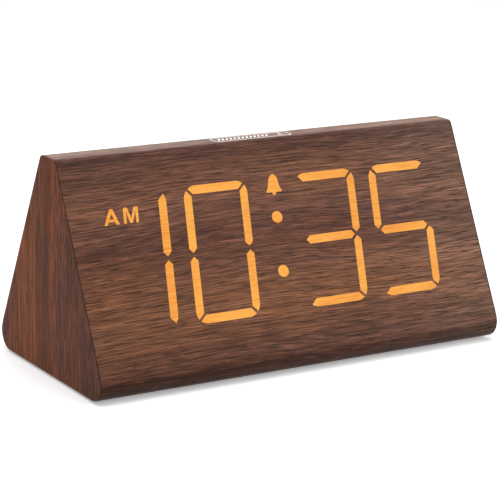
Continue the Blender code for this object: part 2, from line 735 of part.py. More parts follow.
def tile_outline(left, right):
    """Outline of a diffuser tile. A side leans with the digits where another tile lies beyond it."""
    points = []
    for y in (WINDOW_LOW + FIT_GAP, WINDOW_HIGH - FIT_GAP):
        low_x = WINDOW_LEFT + FIT_GAP if left is None else left + SLANT * y + FIT_GAP / 2
        high_x = WINDOW_RIGHT - FIT_GAP if right is None else right + SLANT * y - FIT_GAP / 2
        points.append([(low_x, y), (high_x, y)])
    return points[0] + points[1][::-1]


def make_tile_table():
    """For each diffuser tile, its outline, its lit outlines and all the light wells behind it."""
    hours, colon = HOUR_TENS_COLUMN + HALF_DIGIT_SPACE / 2, (HOUR_ONES_LEFT + COLUMN_PITCH + COLON_AT) / 2
    tens, ones = (COLON_AT + MINUTE_TENS_LEFT) / 2, MINUTE_ONES_LEFT - DIGIT_SPACE / 2
    marks = [rectangle(DAY_MARK_LENGTH, DAY_MARK_HEIGHT, (DAY_MARK_AT, DAY_MARK_UP - i * DAY_MARK_STEP))
             for i in range(2)]
    bell = circle(BELL_RADIUS, (COLON_AT + BELL_RIGHT, BELL_UP), FINE_SIDES)
    full = "abcdefg"
    return {
        "hour_tens_window": {"outline": tile_outline(None, hours),
                             "lit": digit_segments("bc", HOUR_TENS_COLUMN, True),
                             "wells": digit_segments("bc", HOUR_TENS_COLUMN, True) + marks},
        "hour_ones_window": {"outline": tile_outline(hours, colon),
                             "lit": digit_segments("abcdef", HOUR_ONES_LEFT),
                             "wells": digit_segments(full, HOUR_ONES_LEFT)},
        "colon_window": {"outline": tile_outline(colon, tens),
                         "lit": colon_dots(),
                         "wells": [*colon_dots(), bell]},
        "minute_tens_window": {"outline": tile_outline(tens, ones),
                               "lit": digit_segments("abcdg", MINUTE_TENS_LEFT),
                               "wells": digit_segments(full, MINUTE_TENS_LEFT)},
        "minute_ones_window": {"outline": tile_outline(ones, None),
                               "lit": digit_segments("acdfg", MINUTE_ONES_LEFT),
                               "wells": digit_segments(full, MINUTE_ONES_LEFT)},
    }


TILES = make_tile_table()


def display_screw_places():
    """Two ears above the window and two below it."""
    reach = DISPLAY_HEIGHT / 2 + EAR / 2
    middle, half = (WINDOW_LEFT + WINDOW_RIGHT) / 2, (WINDOW_RIGHT - WINDOW_LEFT) / 2
    columns = [middle - half + 2 * EAR, middle + half - 2 * EAR]
    return [(x, y) for y in (-reach, reach) for x in columns]


def make_tiles():
    for name, tile in TILES.items():
        lit = [step(outline, 0) for outline in tile["lit"]]
        place(name, solid(tile["outline"], -TILE_BACK, -TILE_FRONT, top=lit), "lit_window", DISPLAY_FRAME)


def module_outline(margin):
    """Outline of the display module's flange, drawn in by a margin."""
    length = WINDOW_RIGHT - WINDOW_LEFT + 2 * BOARD_LIP - 2 * margin
    return rectangle(length, MODULE_HEIGHT - 2 * margin, ((WINDOW_LEFT + WINDOW_RIGHT) / 2, 0))


def make_reflector():
    wells = [hole(grown(outline, WELL_CLEARANCE)) for tile in TILES.values() for outline in tile["wells"]]
    screws = [hole(screw_circle(spot)) for spot in display_screw_places()]
    body = rectangle(WINDOW_RIGHT - WINDOW_LEFT - 2 * FIT_GAP, DISPLAY_HEIGHT - 2 * FIT_GAP,
                     ((WINDOW_LEFT + WINDOW_RIGHT) / 2, 0))
    block = step(body, -REFLECTOR_FRONT, wells)
    mesh = solid(module_outline(0), -REFLECTOR_BACK, -FLANGE_FRONT, [block, *screws], [*wells, *screws])
    place("display_reflector", mesh, "white_plastic", DISPLAY_FRAME)


def middle_of(outline):
    return (sum(x for x, _ in outline) / len(outline), sum(y for _, y in outline) / len(outline))


def led_outlines():
    """One light for each well, set along it."""
    for tile in TILES.values():
        for outline in tile["wells"]:
            xs, ys = zip(*outline)
            upright = max(ys) - min(ys) > max(xs) - min(xs)
            size = (LED_WIDTH, LED_LENGTH) if upright else (LED_LENGTH, LED_WIDTH)
            yield rectangle(*size, middle_of(outline))


def make_display_board():
    screws = [hole(screw_circle(spot)) for spot in display_screw_places()]
    lights = [step(outline, -DISPLAY_BOARD_FRONT + LED_HEIGHT) for outline in led_outlines()]
    socket = step(rectangle(PLUG_LENGTH, PLUG_WIDTH, (RIBBON_AT, 0)), -DISPLAY_BOARD_BACK - PLUG_HEIGHT)
    mesh = solid(module_outline(FIT_GAP), -DISPLAY_BOARD_BACK, -DISPLAY_BOARD_FRONT,
                 [*lights, *screws], [socket, *screws])
    place("display_board", mesh, "circuit_green", DISPLAY_FRAME)


def screw(length):
    """A pan-head screw with its head above z = 0 and a recess for the driver."""
    recess = step(circle(SCREW_RECESS_RADIUS, sides=DRIVER_SIDES), SCREW_HEAD_HEIGHT - SCREW_RECESS)
    shank = step(circle(SCREW_RADIUS, sides=FINE_SIDES), -length)
    crown = circle(SCREW_HEAD_RADIUS - SCREW_RECESS, sides=FINE_SIDES)
    brim = circle(SCREW_HEAD_RADIUS, sides=FINE_SIDES)
    return solid(crown, 0, SCREW_HEAD_HEIGHT, top=[recess], bottom=[shank], low_outline=brim)


def make_display_screws():
    length = DISPLAY_BOARD_BACK + FIT_GAP - BOARD_BACK + SCREW_BITE
    for i, (x, y) in enumerate(display_screw_places()):
        spot = Matrix.Translation((x, y, -DISPLAY_BOARD_BACK - FIT_GAP))
        frame = turned_about(DISPLAY_FRAME @ spot, "X", 180)
        place(f"display_screw_{i + 1}", screw(length), "steel", frame)


def make_touch_pad():
    level = CASE_HEIGHT - BOARD_BACK - FIT_GAP
    strip_width = INNER_RIDGE - 2 * FIT_GAP
    spot = Matrix.Translation((0, 0, BODY_BASE))
    pad = solid(rectangle(TOUCH_PAD_LENGTH, strip_width), level - TOUCH_PAD, level)
    place("touch_pad", pad, "copper", spot)


# Rear panel

AXIAL = Matrix(((0, 0, 1, 0), (1, 0, 0, 0), (0, 1, 0, 0), (0, 0, 0, 1)))
UPRIGHT = Matrix(((1, 0, 0, 0), (0, 0, 1, 0), (0, -1, 0, 0), (0, 0, 0, 1)))


def panel_screw_places():
    x, y = (PANEL_LENGTH - LEDGE) / 2, (PANEL_HEIGHT - LEDGE) / 2
    return [(-x, -y), (x, -y), (x, y), (-x, y)]


def grille_places():
    """A hole in the middle and rings of six, twelve and so on round it."""
    places = [(SPEAKER_AT, 0)]
    for ring in range(1, GRILLE_RINGS + 1):
        places += circle(ring * GRILLE_RING_PITCH, (SPEAKER_AT, 0), ring * GRILLE_HOLES_A_RING)
    return places


def panel_holes():
    """Holes through the plate inside its skirt, for the buttons, switch, wheel, sockets and battery door."""
    round_holes = [(BUTTON_RADIUS + BUTTON_CLEARANCE, (x, BUTTON_UP)) for x in BUTTON_PLACES]
    round_holes.append((DC_COLLAR_RADIUS + SOCKET_CLEARANCE, (DC_AT, TRAY_UP)))
    slider = (SLIDER_LENGTH + SLIDER_TRAVEL + 2 * FIT_GAP, SLIDER_WIDTH + 2 * FIT_GAP)
    chord = 2 * math.sqrt(WHEEL_RADIUS ** 2 - (WHEEL_SUNK - PANEL_BACK) ** 2)
    wheel = (chord + 2 * WHEEL_CLEARANCE, WHEEL_WIDTH + 2 * WHEEL_CLEARANCE)
    usb = (USB_LENGTH + 2 * SOCKET_CLEARANCE, USB_WIDTH + 2 * SOCKET_CLEARANCE)
    battery = (TRAY_LENGTH, TRAY_HEIGHT)
    square_holes = [(slider, (SLIDER_AT, BUTTON_UP)), (wheel, (WHEEL_AT, BUTTON_UP)),
                    (usb, (USB_AT, TRAY_UP)), (battery, (TRAY_AT, TRAY_UP))]
    holes = [hole(circle(radius, spot)) for radius, spot in round_holes]
    return holes + [hole(rectangle(*size, spot)) for size, spot in square_holes]


def make_panel():
    outline = rounded_rectangle(PANEL_LENGTH, PANEL_HEIGHT, PANEL_CORNER)
    holes = panel_holes()
    screws = [hole(screw_circle(spot)) for spot in panel_screw_places()]
    seat_floor = -PANEL_FRONT - SCREW_HEAD_HEIGHT - FIT_GAP
    seats = [step(circle(SCREW_HEAD_RADIUS + FIT_GAP, spot), seat_floor, [screw_hole])
             for spot, screw_hole in zip(panel_screw_places(), screws)]
    grille = [hole(circle(GRILLE_HOLE_RADIUS, spot, COARSE_SIDES)) for spot in grille_places()]
    speaker_spot = (SPEAKER_AT, 0)
    speaker_seat = step(circle(SPEAKER_RADIUS + FIT_GAP, speaker_spot), -PANEL_BACK, grille)
    collar = step(circle(SPEAKER_OUTER, speaker_spot), -PANEL_BACK - SPEAKER_COLLAR_HEIGHT, [speaker_seat])
    post_end = -CONTROL_FRONT + FIT_GAP
    posts = []
    for spot in POST_PLACES:
        pilot = step(screw_circle(spot), post_end + POST_PILOT)
        posts.append(step(circle(POST_RADIUS, spot, FINE_SIDES), post_end, [pilot]))
    skirt_length = PANEL_LENGTH - 2 * LEDGE - 2 * FIT_GAP
    skirt_height = PANEL_HEIGHT - 2 * LEDGE - 2 * FIT_GAP
    inside = step(rectangle(skirt_length - 2 * SKIRT, skirt_height - 2 * SKIRT), -PANEL_BACK,
                  [*holes, collar, *posts])
    skirt = step(rectangle(skirt_length, skirt_height), -PANEL_BACK - SKIRT_REACH, [inside])
    mesh = solid(outline, -PANEL_BACK, -PANEL_FRONT, [*holes, *grille, *seats], [skirt, *screws])
    panel = place("rear_panel", mesh, "black_plastic", PANEL_FRAME)
    reach = TRAY_LENGTH / 2 - DOOR_CLEARANCE + PIVOT_LENGTH + FIT_GAP
    bore = prisms([circle(PIVOT_RADIUS + PIVOT_CLEARANCE, sides=FINE_SIDES)], -reach, reach)
    combine(panel, bore, on_panel(TRAY_AT, DOOR_LOW, DOOR_AXIS_DEPTH) @ AXIAL)


def make_panel_screws():
    length = SCREW_BITE + PANEL - SCREW_HEAD_HEIGHT
    for i, (x, y) in enumerate(panel_screw_places()):
        frame = on_panel(x, y, PANEL_FRONT + SCREW_HEAD_HEIGHT)
        place(f"panel_screw_{i + 1}", screw(length), "steel", frame)


def make_buttons():
    """Four push buttons, each with the plunger of its switch."""
    flange_back = TRAY_FRONT + BUTTON_FLANGE_THICKNESS
    stem_end = flange_back + STEM_REACH
    face = BUTTON_PROUD - PANEL_FRONT
    cap = [(STEM_RADIUS, -stem_end), (STEM_RADIUS, -flange_back), (FLANGE_RADIUS, -flange_back),
           (FLANGE_RADIUS, -TRAY_FRONT), (BUTTON_RADIUS, -TRAY_FRONT), (BUTTON_RADIUS, face - BUTTON_EDGE),
           (BUTTON_RADIUS - BUTTON_EDGE, face), (BUTTON_RADIUS - BUTTON_DISH_EDGE, face - BUTTON_DISH)]
    seat = CONTROL_FRONT - SWITCH_HEIGHT + SWITCH_BORE - BUTTON_TRAVEL - FIT_GAP
    plunger = [(PLUNGER_RADIUS, -seat), (PLUNGER_RADIUS, -stem_end - FIT_GAP)]
    for name, along in zip(BUTTON_NAMES, BUTTON_PLACES):
        frame = on_panel(along, BUTTON_UP, 0)
        button = place(f"{name}_button", turned(cap), "grey_plastic", frame)
        place(f"{name}_plunger", turned(plunger, FINE_SIDES), "black_plastic", frame, button)


def make_slider():
    cover = rectangle(SLIDER_LENGTH + 2 * SLIDER_COVER, SLIDER_WIDTH + 2 * SLIDER_COVER_SIDE)
    knob = step(rectangle(SLIDER_LENGTH, SLIDER_WIDTH), SLIDER_PROUD - PANEL_FRONT)
    stem_end = -CONTROL_FRONT + SLIDE_BODY_HEIGHT - SLIDER_SINK
    stem = step(rectangle(SLIDER_STEM_LENGTH, SLIDER_STEM_WIDTH), stem_end)
    mesh = solid(cover, -TRAY_FRONT - SLIDER_COVER_THICKNESS, -TRAY_FRONT, [knob], [stem])
    place("alarm_switch_knob", mesh, "grey_plastic", on_panel(SLIDER_AT - SLIDER_TRAVEL / 2, BUTTON_UP, 0))


def make_dimmer():
    turn = math.pi / WHEEL_TEETH
    rim = []
    for i in range(2 * WHEEL_TEETH):
        radius = WHEEL_RADIUS - WHEEL_TOOTH * (i % 2)
        rim.append((radius * math.cos(i * turn), radius * math.sin(i * turn)))
    bore = hole(circle(POT_SHAFT + POT_SHAFT_CLEARANCE, sides=FINE_SIDES))
    frame = on_panel(WHEEL_AT, BUTTON_UP, WHEEL_SUNK) @ UPRIGHT
    wheel = solid(rim, -WHEEL_WIDTH / 2, WHEEL_WIDTH / 2, [bore], [bore])
    place("dimmer_wheel", wheel, "grey_plastic", frame)
    front, back = PANEL_BACK + POT_TOP - WHEEL_SUNK, SOCKET_BACK - WHEEL_SUNK
    body = rectangle(POT_LENGTH, back - front, (0, (front + back) / 2))
    top = -WHEEL_WIDTH / 2 - FIT_GAP
    shaft = step(circle(POT_SHAFT, sides=FINE_SIDES), WHEEL_WIDTH / 2 + POT_SHAFT_END)
    place("dimmer_pot", solid(body, top - POT_HEIGHT, top, [shaft]), "black_plastic", frame)


def make_sockets():
    mouth = -PANEL_FRONT
    inner_length = USB_LENGTH - 2 * USB_WALL
    tongue_outline = rectangle(inner_length - 2 * USB_TONGUE_CLEARANCE, USB_TONGUE, (0, USB_TONGUE_SIDE))
    tongue = step(tongue_outline, mouth - USB_TONGUE_SHORT)
    inner = rectangle(inner_length, USB_WIDTH - 2 * USB_WALL)
    cavity = step(inner, -SOCKET_BACK + USB_BACK, [tongue])
    shell = solid(rectangle(USB_LENGTH, USB_WIDTH), -SOCKET_BACK, mouth, [cavity])
    place("usb_socket", shell, "steel", on_panel(USB_AT, TRAY_UP, 0))
    pin = step(circle(DC_PIN_RADIUS, sides=FINE_SIDES), mouth - DC_PIN_SHORT)
    bore = step(circle(DC_BORE_RADIUS), mouth - DC_BORE_DEPTH, [pin])
    collar = step(circle(DC_COLLAR_RADIUS), mouth, [bore])
    body = solid(rectangle(DC_BODY, DC_BODY), -SOCKET_BACK, -TRAY_FRONT, [collar])
    place("dc_inlet", body, "black_plastic", on_panel(DC_AT, TRAY_UP, 0))


def speaker_depths():
    rim_back = TRAY_FRONT + SPEAKER_RIM
    basket_back = rim_back + SPEAKER_BASKET
    return rim_back, basket_back, basket_back + SPEAKER_MAGNET


def make_speaker():
    rim_back, basket_back, magnet_back = speaker_depths()
    edge = SPEAKER_RADIUS - SPEAKER_EDGE
    profile = [(SPEAKER_MAGNET_RADIUS, -magnet_back), (SPEAKER_MAGNET_RADIUS, -basket_back),
               (edge, -rim_back), (SPEAKER_RADIUS, -rim_back), (SPEAKER_RADIUS, -TRAY_FRONT),
               (edge, -TRAY_FRONT), (SPEAKER_CONE_RADIUS, -TRAY_FRONT - SPEAKER_CONE_DEPTH)]
    place("speaker", turned(profile), "black_plastic", on_panel(SPEAKER_AT, 0, 0))


# Battery compartment

def make_tray():
    spot = (TRAY_AT, TRAY_UP)
    outer = rectangle(TRAY_LENGTH + 2 * TRAY_WALL, TRAY_HEIGHT + 2 * TRAY_WALL, spot)
    pocket = step(rectangle(TRAY_LENGTH, TRAY_HEIGHT, spot), -TRAY_FRONT - TRAY_DEPTH)
    tray = solid(outer, -TRAY_FRONT - TRAY_DEPTH - TRAY_WALL, -TRAY_FRONT, [pocket])
    place("battery_tray", tray, "black_plastic", PANEL_FRAME)


def make_door():
    """The door lies along its pivots: x up the panel, y outwards, z along the pivots."""
    half = DOOR / 2
    top = TRAY_HEIGHT - 2 * DOOR_CLEARANCE - half
    reach = TRAY_LENGTH / 2 - DOOR_CLEARANCE
    turns = [math.pi * i / ARC_STEPS for i in range(ARC_STEPS + 1)]
    bead = [(-half * math.sin(turn), half * math.cos(turn)) for turn in turns]
    section = [(top, -half), (top, half), *bead]
    pivot = circle(PIVOT_RADIUS, sides=FINE_SIDES)
    pivots = [step(pivot, side * (reach + PIVOT_LENGTH)) for side in (1, -1)]
    frame = on_panel(TRAY_AT, DOOR_LOW, DOOR_AXIS_DEPTH) @ AXIAL
    plate = solid(section, -reach, reach, pivots[:1], pivots[1:])
    door = place("battery_door", plate, "black_plastic", frame)
    latch_spot = (top - LATCH_INSET - LATCH_THICKNESS / 2, -(LATCH_REACH + half) / 2)
    latch = rectangle(LATCH_THICKNESS, LATCH_REACH + half, latch_spot)
    combine(door, prisms([latch], -LATCH_WIDTH / 2, LATCH_WIDTH / 2), frame, "UNION")
    turns = [math.pi * i / ROUND_SIDES for i in range(ROUND_SIDES + 1)]
    moon = [(THUMB_RADIUS * math.cos(turn), -THUMB_RADIUS * math.sin(turn)) for turn in turns]
    notch = on_panel(TRAY_AT, DOOR_LOW + top - THUMB_RADIUS / 2, DOOR_AXIS_DEPTH - half)
    combine(door, prisms([moon], -THUMB_DEPTH, OVERRUN), notch)


def cell_frame(way, along):
    """Frame of a cell or contact, z along the cell: way is 1 for the upper cell, -1 for the lower one."""
    up = TRAY_UP + way * (CELL_RADIUS + CELL_ROOM / 2)
    frame = on_panel(TRAY_AT + way * along, up, CELL_DEPTH)
    return (frame if way > 0 else turned_about(frame, "Y", 180)) @ AXIAL


def make_cells():
    """Two cells, nose to tail, each pressed on its positive contact by the spring behind it."""
    start = -TRAY_LENGTH / 2
    contact_end = start + FIT_GAP + CONTACT
    shoulder = CELL_LENGTH - CELL_NUB
    profile = [(CELL_RADIUS - CELL_EDGE, 0), (CELL_RADIUS, CELL_EDGE), (CELL_RADIUS, shoulder - CELL_EDGE),
               (CELL_RADIUS - CELL_EDGE, shoulder), (CELL_NUB_RADIUS, shoulder),
               (CELL_NUB_RADIUS, CELL_LENGTH)]
    spring_start = contact_end + FIT_GAP
    cell_start = spring_start + SPRING_LENGTH + FIT_GAP
    for way, name in ((1, "upper"), (-1, "lower")):
        place(f"{name}_cell", turned(profile), "cell_jacket", cell_frame(way, cell_start))
        tube(f"{name}_spring", spring_line(), SPRING_WIRE_RADIUS, "steel", cell_frame(way, spring_start))
    gap = least_gap(spring_line(), SPRING_WIRE_RADIUS)
    print(f"least gap between the turns of a spring: {gap:.5f} m")
    step_up = 2 * CELL_RADIUS + CELL_ROOM
    small = solid(rectangle(CONTACT_WIDTH, CONTACT_WIDTH), 0, CONTACT)
    place("negative_contact", small, "steel", cell_frame(-1, start + FIT_GAP))
    small = solid(rectangle(CONTACT_WIDTH, CONTACT_WIDTH), -CONTACT, 0)
    place("positive_contact", small, "steel", cell_frame(1, -start - FIT_GAP))
    bridge = solid(rectangle(step_up + CONTACT_WIDTH, CONTACT_WIDTH, (-step_up / 2, 0)), 0, CONTACT)
    place("bridge_contact", bridge, "steel", cell_frame(1, start + FIT_GAP))


def spring_line():
    """Centre line of a conical spring that stands on its contact and narrows towards the cell."""
    count = SPRING_TURNS * SPRING_POINTS_A_TURN
    points = []
    for i in range(count + 1):
        share = i / count
        angle = 2 * math.pi * SPRING_TURNS * share
        radius = SPRING_RADIUS + (SPRING_TIP_RADIUS - SPRING_RADIUS) * share
        level = SPRING_WIRE_RADIUS + (SPRING_LENGTH - 2 * SPRING_WIRE_RADIUS) * share
        points.append((radius * math.cos(angle), radius * math.sin(angle), level))
    return points


def least_gap(points, radius):
    """The least space that a coiled wire leaves to its own next turns."""
    near = SPRING_POINTS_A_TURN // 2
    nearest = min(math.dist(point, other) for i, point in enumerate(points) for other in points[i + near:])
    return nearest - 2 * radius


def tube(name, points, radius, look, frame):
    """A round wire through points, closed at its ends."""
    line = bpy.data.curves.new(name, "CURVE")
    line.dimensions = "3D"
    line.bevel_depth = radius
    line.bevel_resolution = SPRING_WIRE_RESOLUTION
    line.use_fill_caps = True
    spline = line.splines.new("POLY")
    spline.points.add(len(points) - 1)
    for point, place_of_point in zip(spline.points, points):
        point.co = (*place_of_point, 1)
    thing = bpy.data.objects.new(name, line)
    bpy.context.collection.objects.link(thing)
    line.materials.append(finish(name, *LOOKS[look]))
    thing.matrix_world = frame


# Control board, leads and ribbon

def battery_plug_place():
    return (TRAY_RIGHT + BATTERY_PLUG_IN, TRAY_UP)


def speaker_plug_place():
    return (DC_AT, (TRAY_UP + BUTTON_UP) / 2)


def make_control_board():
    left = BUTTON_PLACES[0] - SWITCH_BODY / 2 - BOARD_MARGIN
    right = max(WHEEL_AT + POT_LENGTH / 2, DC_AT + DC_BODY / 2) + BOARD_MARGIN
    notch_right, notch_top = TRAY_RIGHT + 2 * FIT_GAP, TRAY_TOP + 2 * FIT_GAP
    low, high = TRAY_UP - DC_BODY / 2 - BOARD_MARGIN, BUTTON_UP + SWITCH_BODY / 2 + BOARD_MARGIN
    outline = [(left, notch_top), (notch_right, notch_top), (notch_right, low), (right, low), (right, high),
               (left, high)]
    switch_top = -CONTROL_FRONT + SWITCH_HEIGHT
    switches = []
    for along in BUTTON_PLACES:
        spot = (along, BUTTON_UP)
        bore_circle = circle(PLUNGER_RADIUS + PLUNGER_CLEARANCE, spot, FINE_SIDES)
        bore = step(bore_circle, switch_top - SWITCH_BORE)
        switches.append(step(rectangle(SWITCH_BODY, SWITCH_BODY, spot), switch_top, [bore]))
    slot = (SLIDER_STEM_LENGTH + SLIDER_TRAVEL + 2 * FIT_GAP, SLIDER_STEM_WIDTH + 2 * FIT_GAP)
    slide_top = -CONTROL_FRONT + SLIDE_BODY_HEIGHT
    well = step(rectangle(*slot, (SLIDER_AT, BUTTON_UP)), slide_top - SLIDE_BODY_SLOT)
    slide = step(rectangle(SLIDE_BODY_LENGTH, SLIDE_BODY_WIDTH, (SLIDER_AT, BUTTON_UP)), slide_top, [well])
    screws = [hole(screw_circle(spot)) for spot in POST_PLACES]
    plug_end = -CONTROL_BACK - PLUG_HEIGHT
    plugs = [step(rectangle(PLUG_LENGTH, PLUG_WIDTH, (-RIBBON_AT, BUTTON_UP)), plug_end)]
    for spot in (battery_plug_place(), speaker_plug_place(), (TOUCH_PLUG_AT, BUTTON_UP)):
        plugs.append(step(rectangle(LEAD_PLUG, LEAD_PLUG, spot), -CONTROL_BACK - LEAD_PLUG_HEIGHT))
    mesh = solid(outline, -CONTROL_BACK, -CONTROL_FRONT, [*switches, slide, *screws], [*plugs, *screws])
    place("control_board", mesh, "circuit_green", PANEL_FRAME)
    for i, (x, y) in enumerate(POST_PLACES):
        frame = turned_about(on_panel(x, y, CONTROL_BACK + FIT_GAP), "X", 180)
        place(f"board_screw_{i + 1}", screw(CIRCUIT_BOARD + 2 * FIT_GAP + SCREW_BITE), "steel", frame)


def section_point(side, up, depth):
    """A point of the case's section, from its place up a sloping face and its depth under that face."""
    y = side * (CASE_DEPTH / 2 - up * math.cos(SLOPE) - depth * math.sin(SLOPE))
    return Vector((y, up * math.sin(SLOPE) - depth * math.cos(SLOPE)))


def make_ribbon():
    """Flat cable from the display board to the control board, in a smooth curve between the two boards."""
    seat = PLUG_HEIGHT + FIT_GAP
    ends = [section_point(-1, DISPLAY_UP, DISPLAY_BOARD_BACK + seat),
            section_point(1, PANEL_UP + BUTTON_UP, CONTROL_BACK + seat)]
    pulls = [section_point(-1, DISPLAY_UP, DISPLAY_BOARD_BACK + seat + RIBBON_SAG),
             section_point(1, PANEL_UP + BUTTON_UP, CONTROL_BACK + seat + RIBBON_SAG)]
    line = []
    for i in range(RIBBON_POINTS + 1):
        t = i / RIBBON_POINTS
        back = 1 - t
        line.append(back ** 3 * ends[0] + 3 * back * back * t * pulls[0] + 3 * back * t * t * pulls[1]
                    + t ** 3 * ends[1])
    sides = []
    for i, point in enumerate(line):
        way = (line[min(i + 1, RIBBON_POINTS)] - line[max(i - 1, 0)]).normalized()
        sides.append(Vector((-way.y, way.x)) * RIBBON / 2)
    outer = [tuple(point + side) for point, side in zip(line, sides)]
    inner = [tuple(point - side) for point, side in zip(line, sides)]
    sheet = strip(outer, inner, RIBBON_AT - RIBBON_WIDTH / 2, RIBBON_AT + RIBBON_WIDTH / 2)
    place("ribbon_cable", sheet, "cable", SECTION_FRAME)


def smooth_line(route):
    """Points along a smooth curve through a route's own points."""
    route = [Vector(point) for point in route]
    padded = [2 * route[0] - route[1], *route, 2 * route[-1] - route[-2]]
    spans = len(route) - 1
    points = []
    for i in range(LEAD_POINTS + 1):
        span, t = divmod(i * spans / LEAD_POINTS, 1)
        span = min(int(span), spans - 1)
        t = i * spans / LEAD_POINTS - span
        a, b, c, d = padded[span:span + 4]
        points.append((2 * b + t * (c - a) + t * t * (2 * a - 5 * b + 4 * c - d)
                       + t ** 3 * (3 * b - a - 3 * c + d)) / 2)
    return points


def past_display():
    """Where the touch lead passes between the display board and the rear board: y and height."""
    edge = section_point(-1, DISPLAY_UP + MODULE_HEIGHT / 2, DISPLAY_BOARD_BACK)
    return (DISPLAY_BOARD_BACK - BOARD_BACK) / (2 * math.sin(SLOPE)), edge.y + BODY_BASE


def make_lead(name, points):
    """A lead through points: rings square to its path, each turned as little as it can be from the last."""
    bm = bmesh.new()
    rings = []
    across = None
    for i, point in enumerate(points):
        way = (points[min(i + 1, LEAD_POINTS)] - points[max(i - 1, 0)]).normalized()
        across = across - way * across.dot(way) if across else way.orthogonal()
        across.normalize()
        side = way.cross(across)
        section = circle(LEAD_RADIUS, sides=LEAD_SIDES)
        rings.append([bm.verts.new(point + across * x + side * y) for x, y in section])
    for first, second in zip(rings, rings[1:]):
        add_wall(bm, first, second)
    bm.faces.new(rings[0])
    bm.faces.new(rings[-1])
    bmesh.ops.recalc_face_normals(bm, faces=bm.faces)
    place(name, bm, "cable", PANEL_FRAME)


def make_leads():
    plug = CONTROL_BACK + LEAD_PLUG_HEIGHT + FIT_GAP
    tray_back = TRAY_FRONT + TRAY_DEPTH + TRAY_WALL + FIT_GAP
    x, y = battery_plug_place()
    start = TRAY_RIGHT - BATTERY_LEAD_IN
    route = [(start, y, -tray_back), (start, y, -tray_back - LEAD_RISE / 2),
             ((start + x) / 2, y, -tray_back - LEAD_RISE), (x, y, -plug - LEAD_RISE), (x, y, -plug)]
    make_lead("battery_lead", smooth_line(route))
    x, y = speaker_plug_place()
    back = speaker_depths()[2] + FIT_GAP
    route = [(SPEAKER_AT, 0, -back), (SPEAKER_AT, 0, -back - LEAD_RISE),
             ((SPEAKER_AT + x) / 2, y / 2, -plug - LEAD_RISE), (x, y, -plug - LEAD_RISE), (x, y, -plug)]
    make_lead("speaker_lead", smooth_line(route))
    pad_low = CASE_HEIGHT - BOARD_BACK - TOUCH_PAD - 2 * FIT_GAP + BODY_BASE
    top_plug = Vector((TOUCH_PLUG_AT, BUTTON_UP, -plug))
    y, z = past_display()
    points = [(0, pad_low), (y, z), (y, z - 2 * LEAD_RISE)]
    route = [PANEL_FRAME.inverted() @ Vector((-TOUCH_LEAD_AT, *point)) for point in points]
    route += [top_plug - Vector((0, 0, LEAD_RISE / 2)), top_plug]
    make_lead("touch_lead", smooth_line(route))


def main():
    for thing in list(bpy.data.objects):
        bpy.data.objects.remove(thing, do_unlink=True)
    make_boards()
    make_ends()
    make_wrap()
    make_feet()
    make_tiles()
    make_reflector()
    make_display_board()
    make_display_screws()
    make_touch_pad()
    make_panel()
    make_panel_screws()
    make_buttons()
    make_slider()
    make_dimmer()
    make_sockets()
    make_speaker()
    make_tray()
    make_door()
    make_cells()
    make_control_board()
    make_ribbon()
    make_leads()


main()
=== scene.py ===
# %% [markdown]
# # A bedside clock in walnut film
# The clock is a prism: a folded board case wrapped in printed walnut film. The time shines through the film from
# behind, and the controls sit in a moulded panel at the back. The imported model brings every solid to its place,
# so this lesson gives the solids their finishes and adds what is too fine for a solid: signs, prints, the crosses
# in the screws, contacts. Sizes are in metres, +Z is up, and the display faces -Y.

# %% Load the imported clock
import math

import bmesh
import bpy
from mathutils import Matrix, Vector


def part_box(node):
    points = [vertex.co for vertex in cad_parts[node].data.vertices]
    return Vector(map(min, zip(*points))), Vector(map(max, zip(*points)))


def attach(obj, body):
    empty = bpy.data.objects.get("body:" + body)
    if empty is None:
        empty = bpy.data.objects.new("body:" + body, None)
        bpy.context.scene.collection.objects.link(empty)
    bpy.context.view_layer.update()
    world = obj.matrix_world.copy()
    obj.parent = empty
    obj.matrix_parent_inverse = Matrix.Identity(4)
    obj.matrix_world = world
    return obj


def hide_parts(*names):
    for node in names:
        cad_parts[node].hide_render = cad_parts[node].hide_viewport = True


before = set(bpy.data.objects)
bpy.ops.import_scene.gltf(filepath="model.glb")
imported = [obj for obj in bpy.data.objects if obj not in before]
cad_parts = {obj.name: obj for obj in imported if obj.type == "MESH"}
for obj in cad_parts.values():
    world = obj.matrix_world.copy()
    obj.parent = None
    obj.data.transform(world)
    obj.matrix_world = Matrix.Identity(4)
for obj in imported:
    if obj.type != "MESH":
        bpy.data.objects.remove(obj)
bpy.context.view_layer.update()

# %% [markdown]
# ## Places on the case
# Nearly everything sits on one of three flat faces: the sloping front, the sloping rear and the ridge. A matrix
# for each face turns "along the face, up the face, out of the face" into a place in the world, so that a print
# is drawn flat and then laid on. The same could be done by turning objects, but a finished piece keeps its place
# in its mesh, with its object at the origin.

# %% Frames of the three faces
MM = 0.001
CASE_DEPTH = 0.104
CASE_HEIGHT = 0.0932
RIDGE_WIDTH = 0.013
CASE_LIFT = 0.0011
SLOPE = math.atan2(CASE_HEIGHT, (CASE_DEPTH - RIDGE_WIDTH) / 2)


def face_frame(along, up, origin):
    """Matrix whose columns are the ways along a face, up it and out of it."""
    along, up = Vector(along), Vector(up)
    matrix = Matrix((along, up, along.cross(up))).transposed().to_4x4()
    matrix.translation = Vector(origin)
    return matrix


FRONT = face_frame((1, 0, 0), (0, math.cos(SLOPE), math.sin(SLOPE)), (0, -CASE_DEPTH / 2, CASE_LIFT))
REAR = face_frame((-1, 0, 0), (0, -math.cos(SLOPE), math.sin(SLOPE)), (0, CASE_DEPTH / 2, CASE_LIFT))
RIDGE = face_frame((1, 0, 0), (0, 1, 0), (0, 0, CASE_LIFT + CASE_HEIGHT))
print("slope of the front:", round(math.degrees(SLOPE), 2), "degrees")


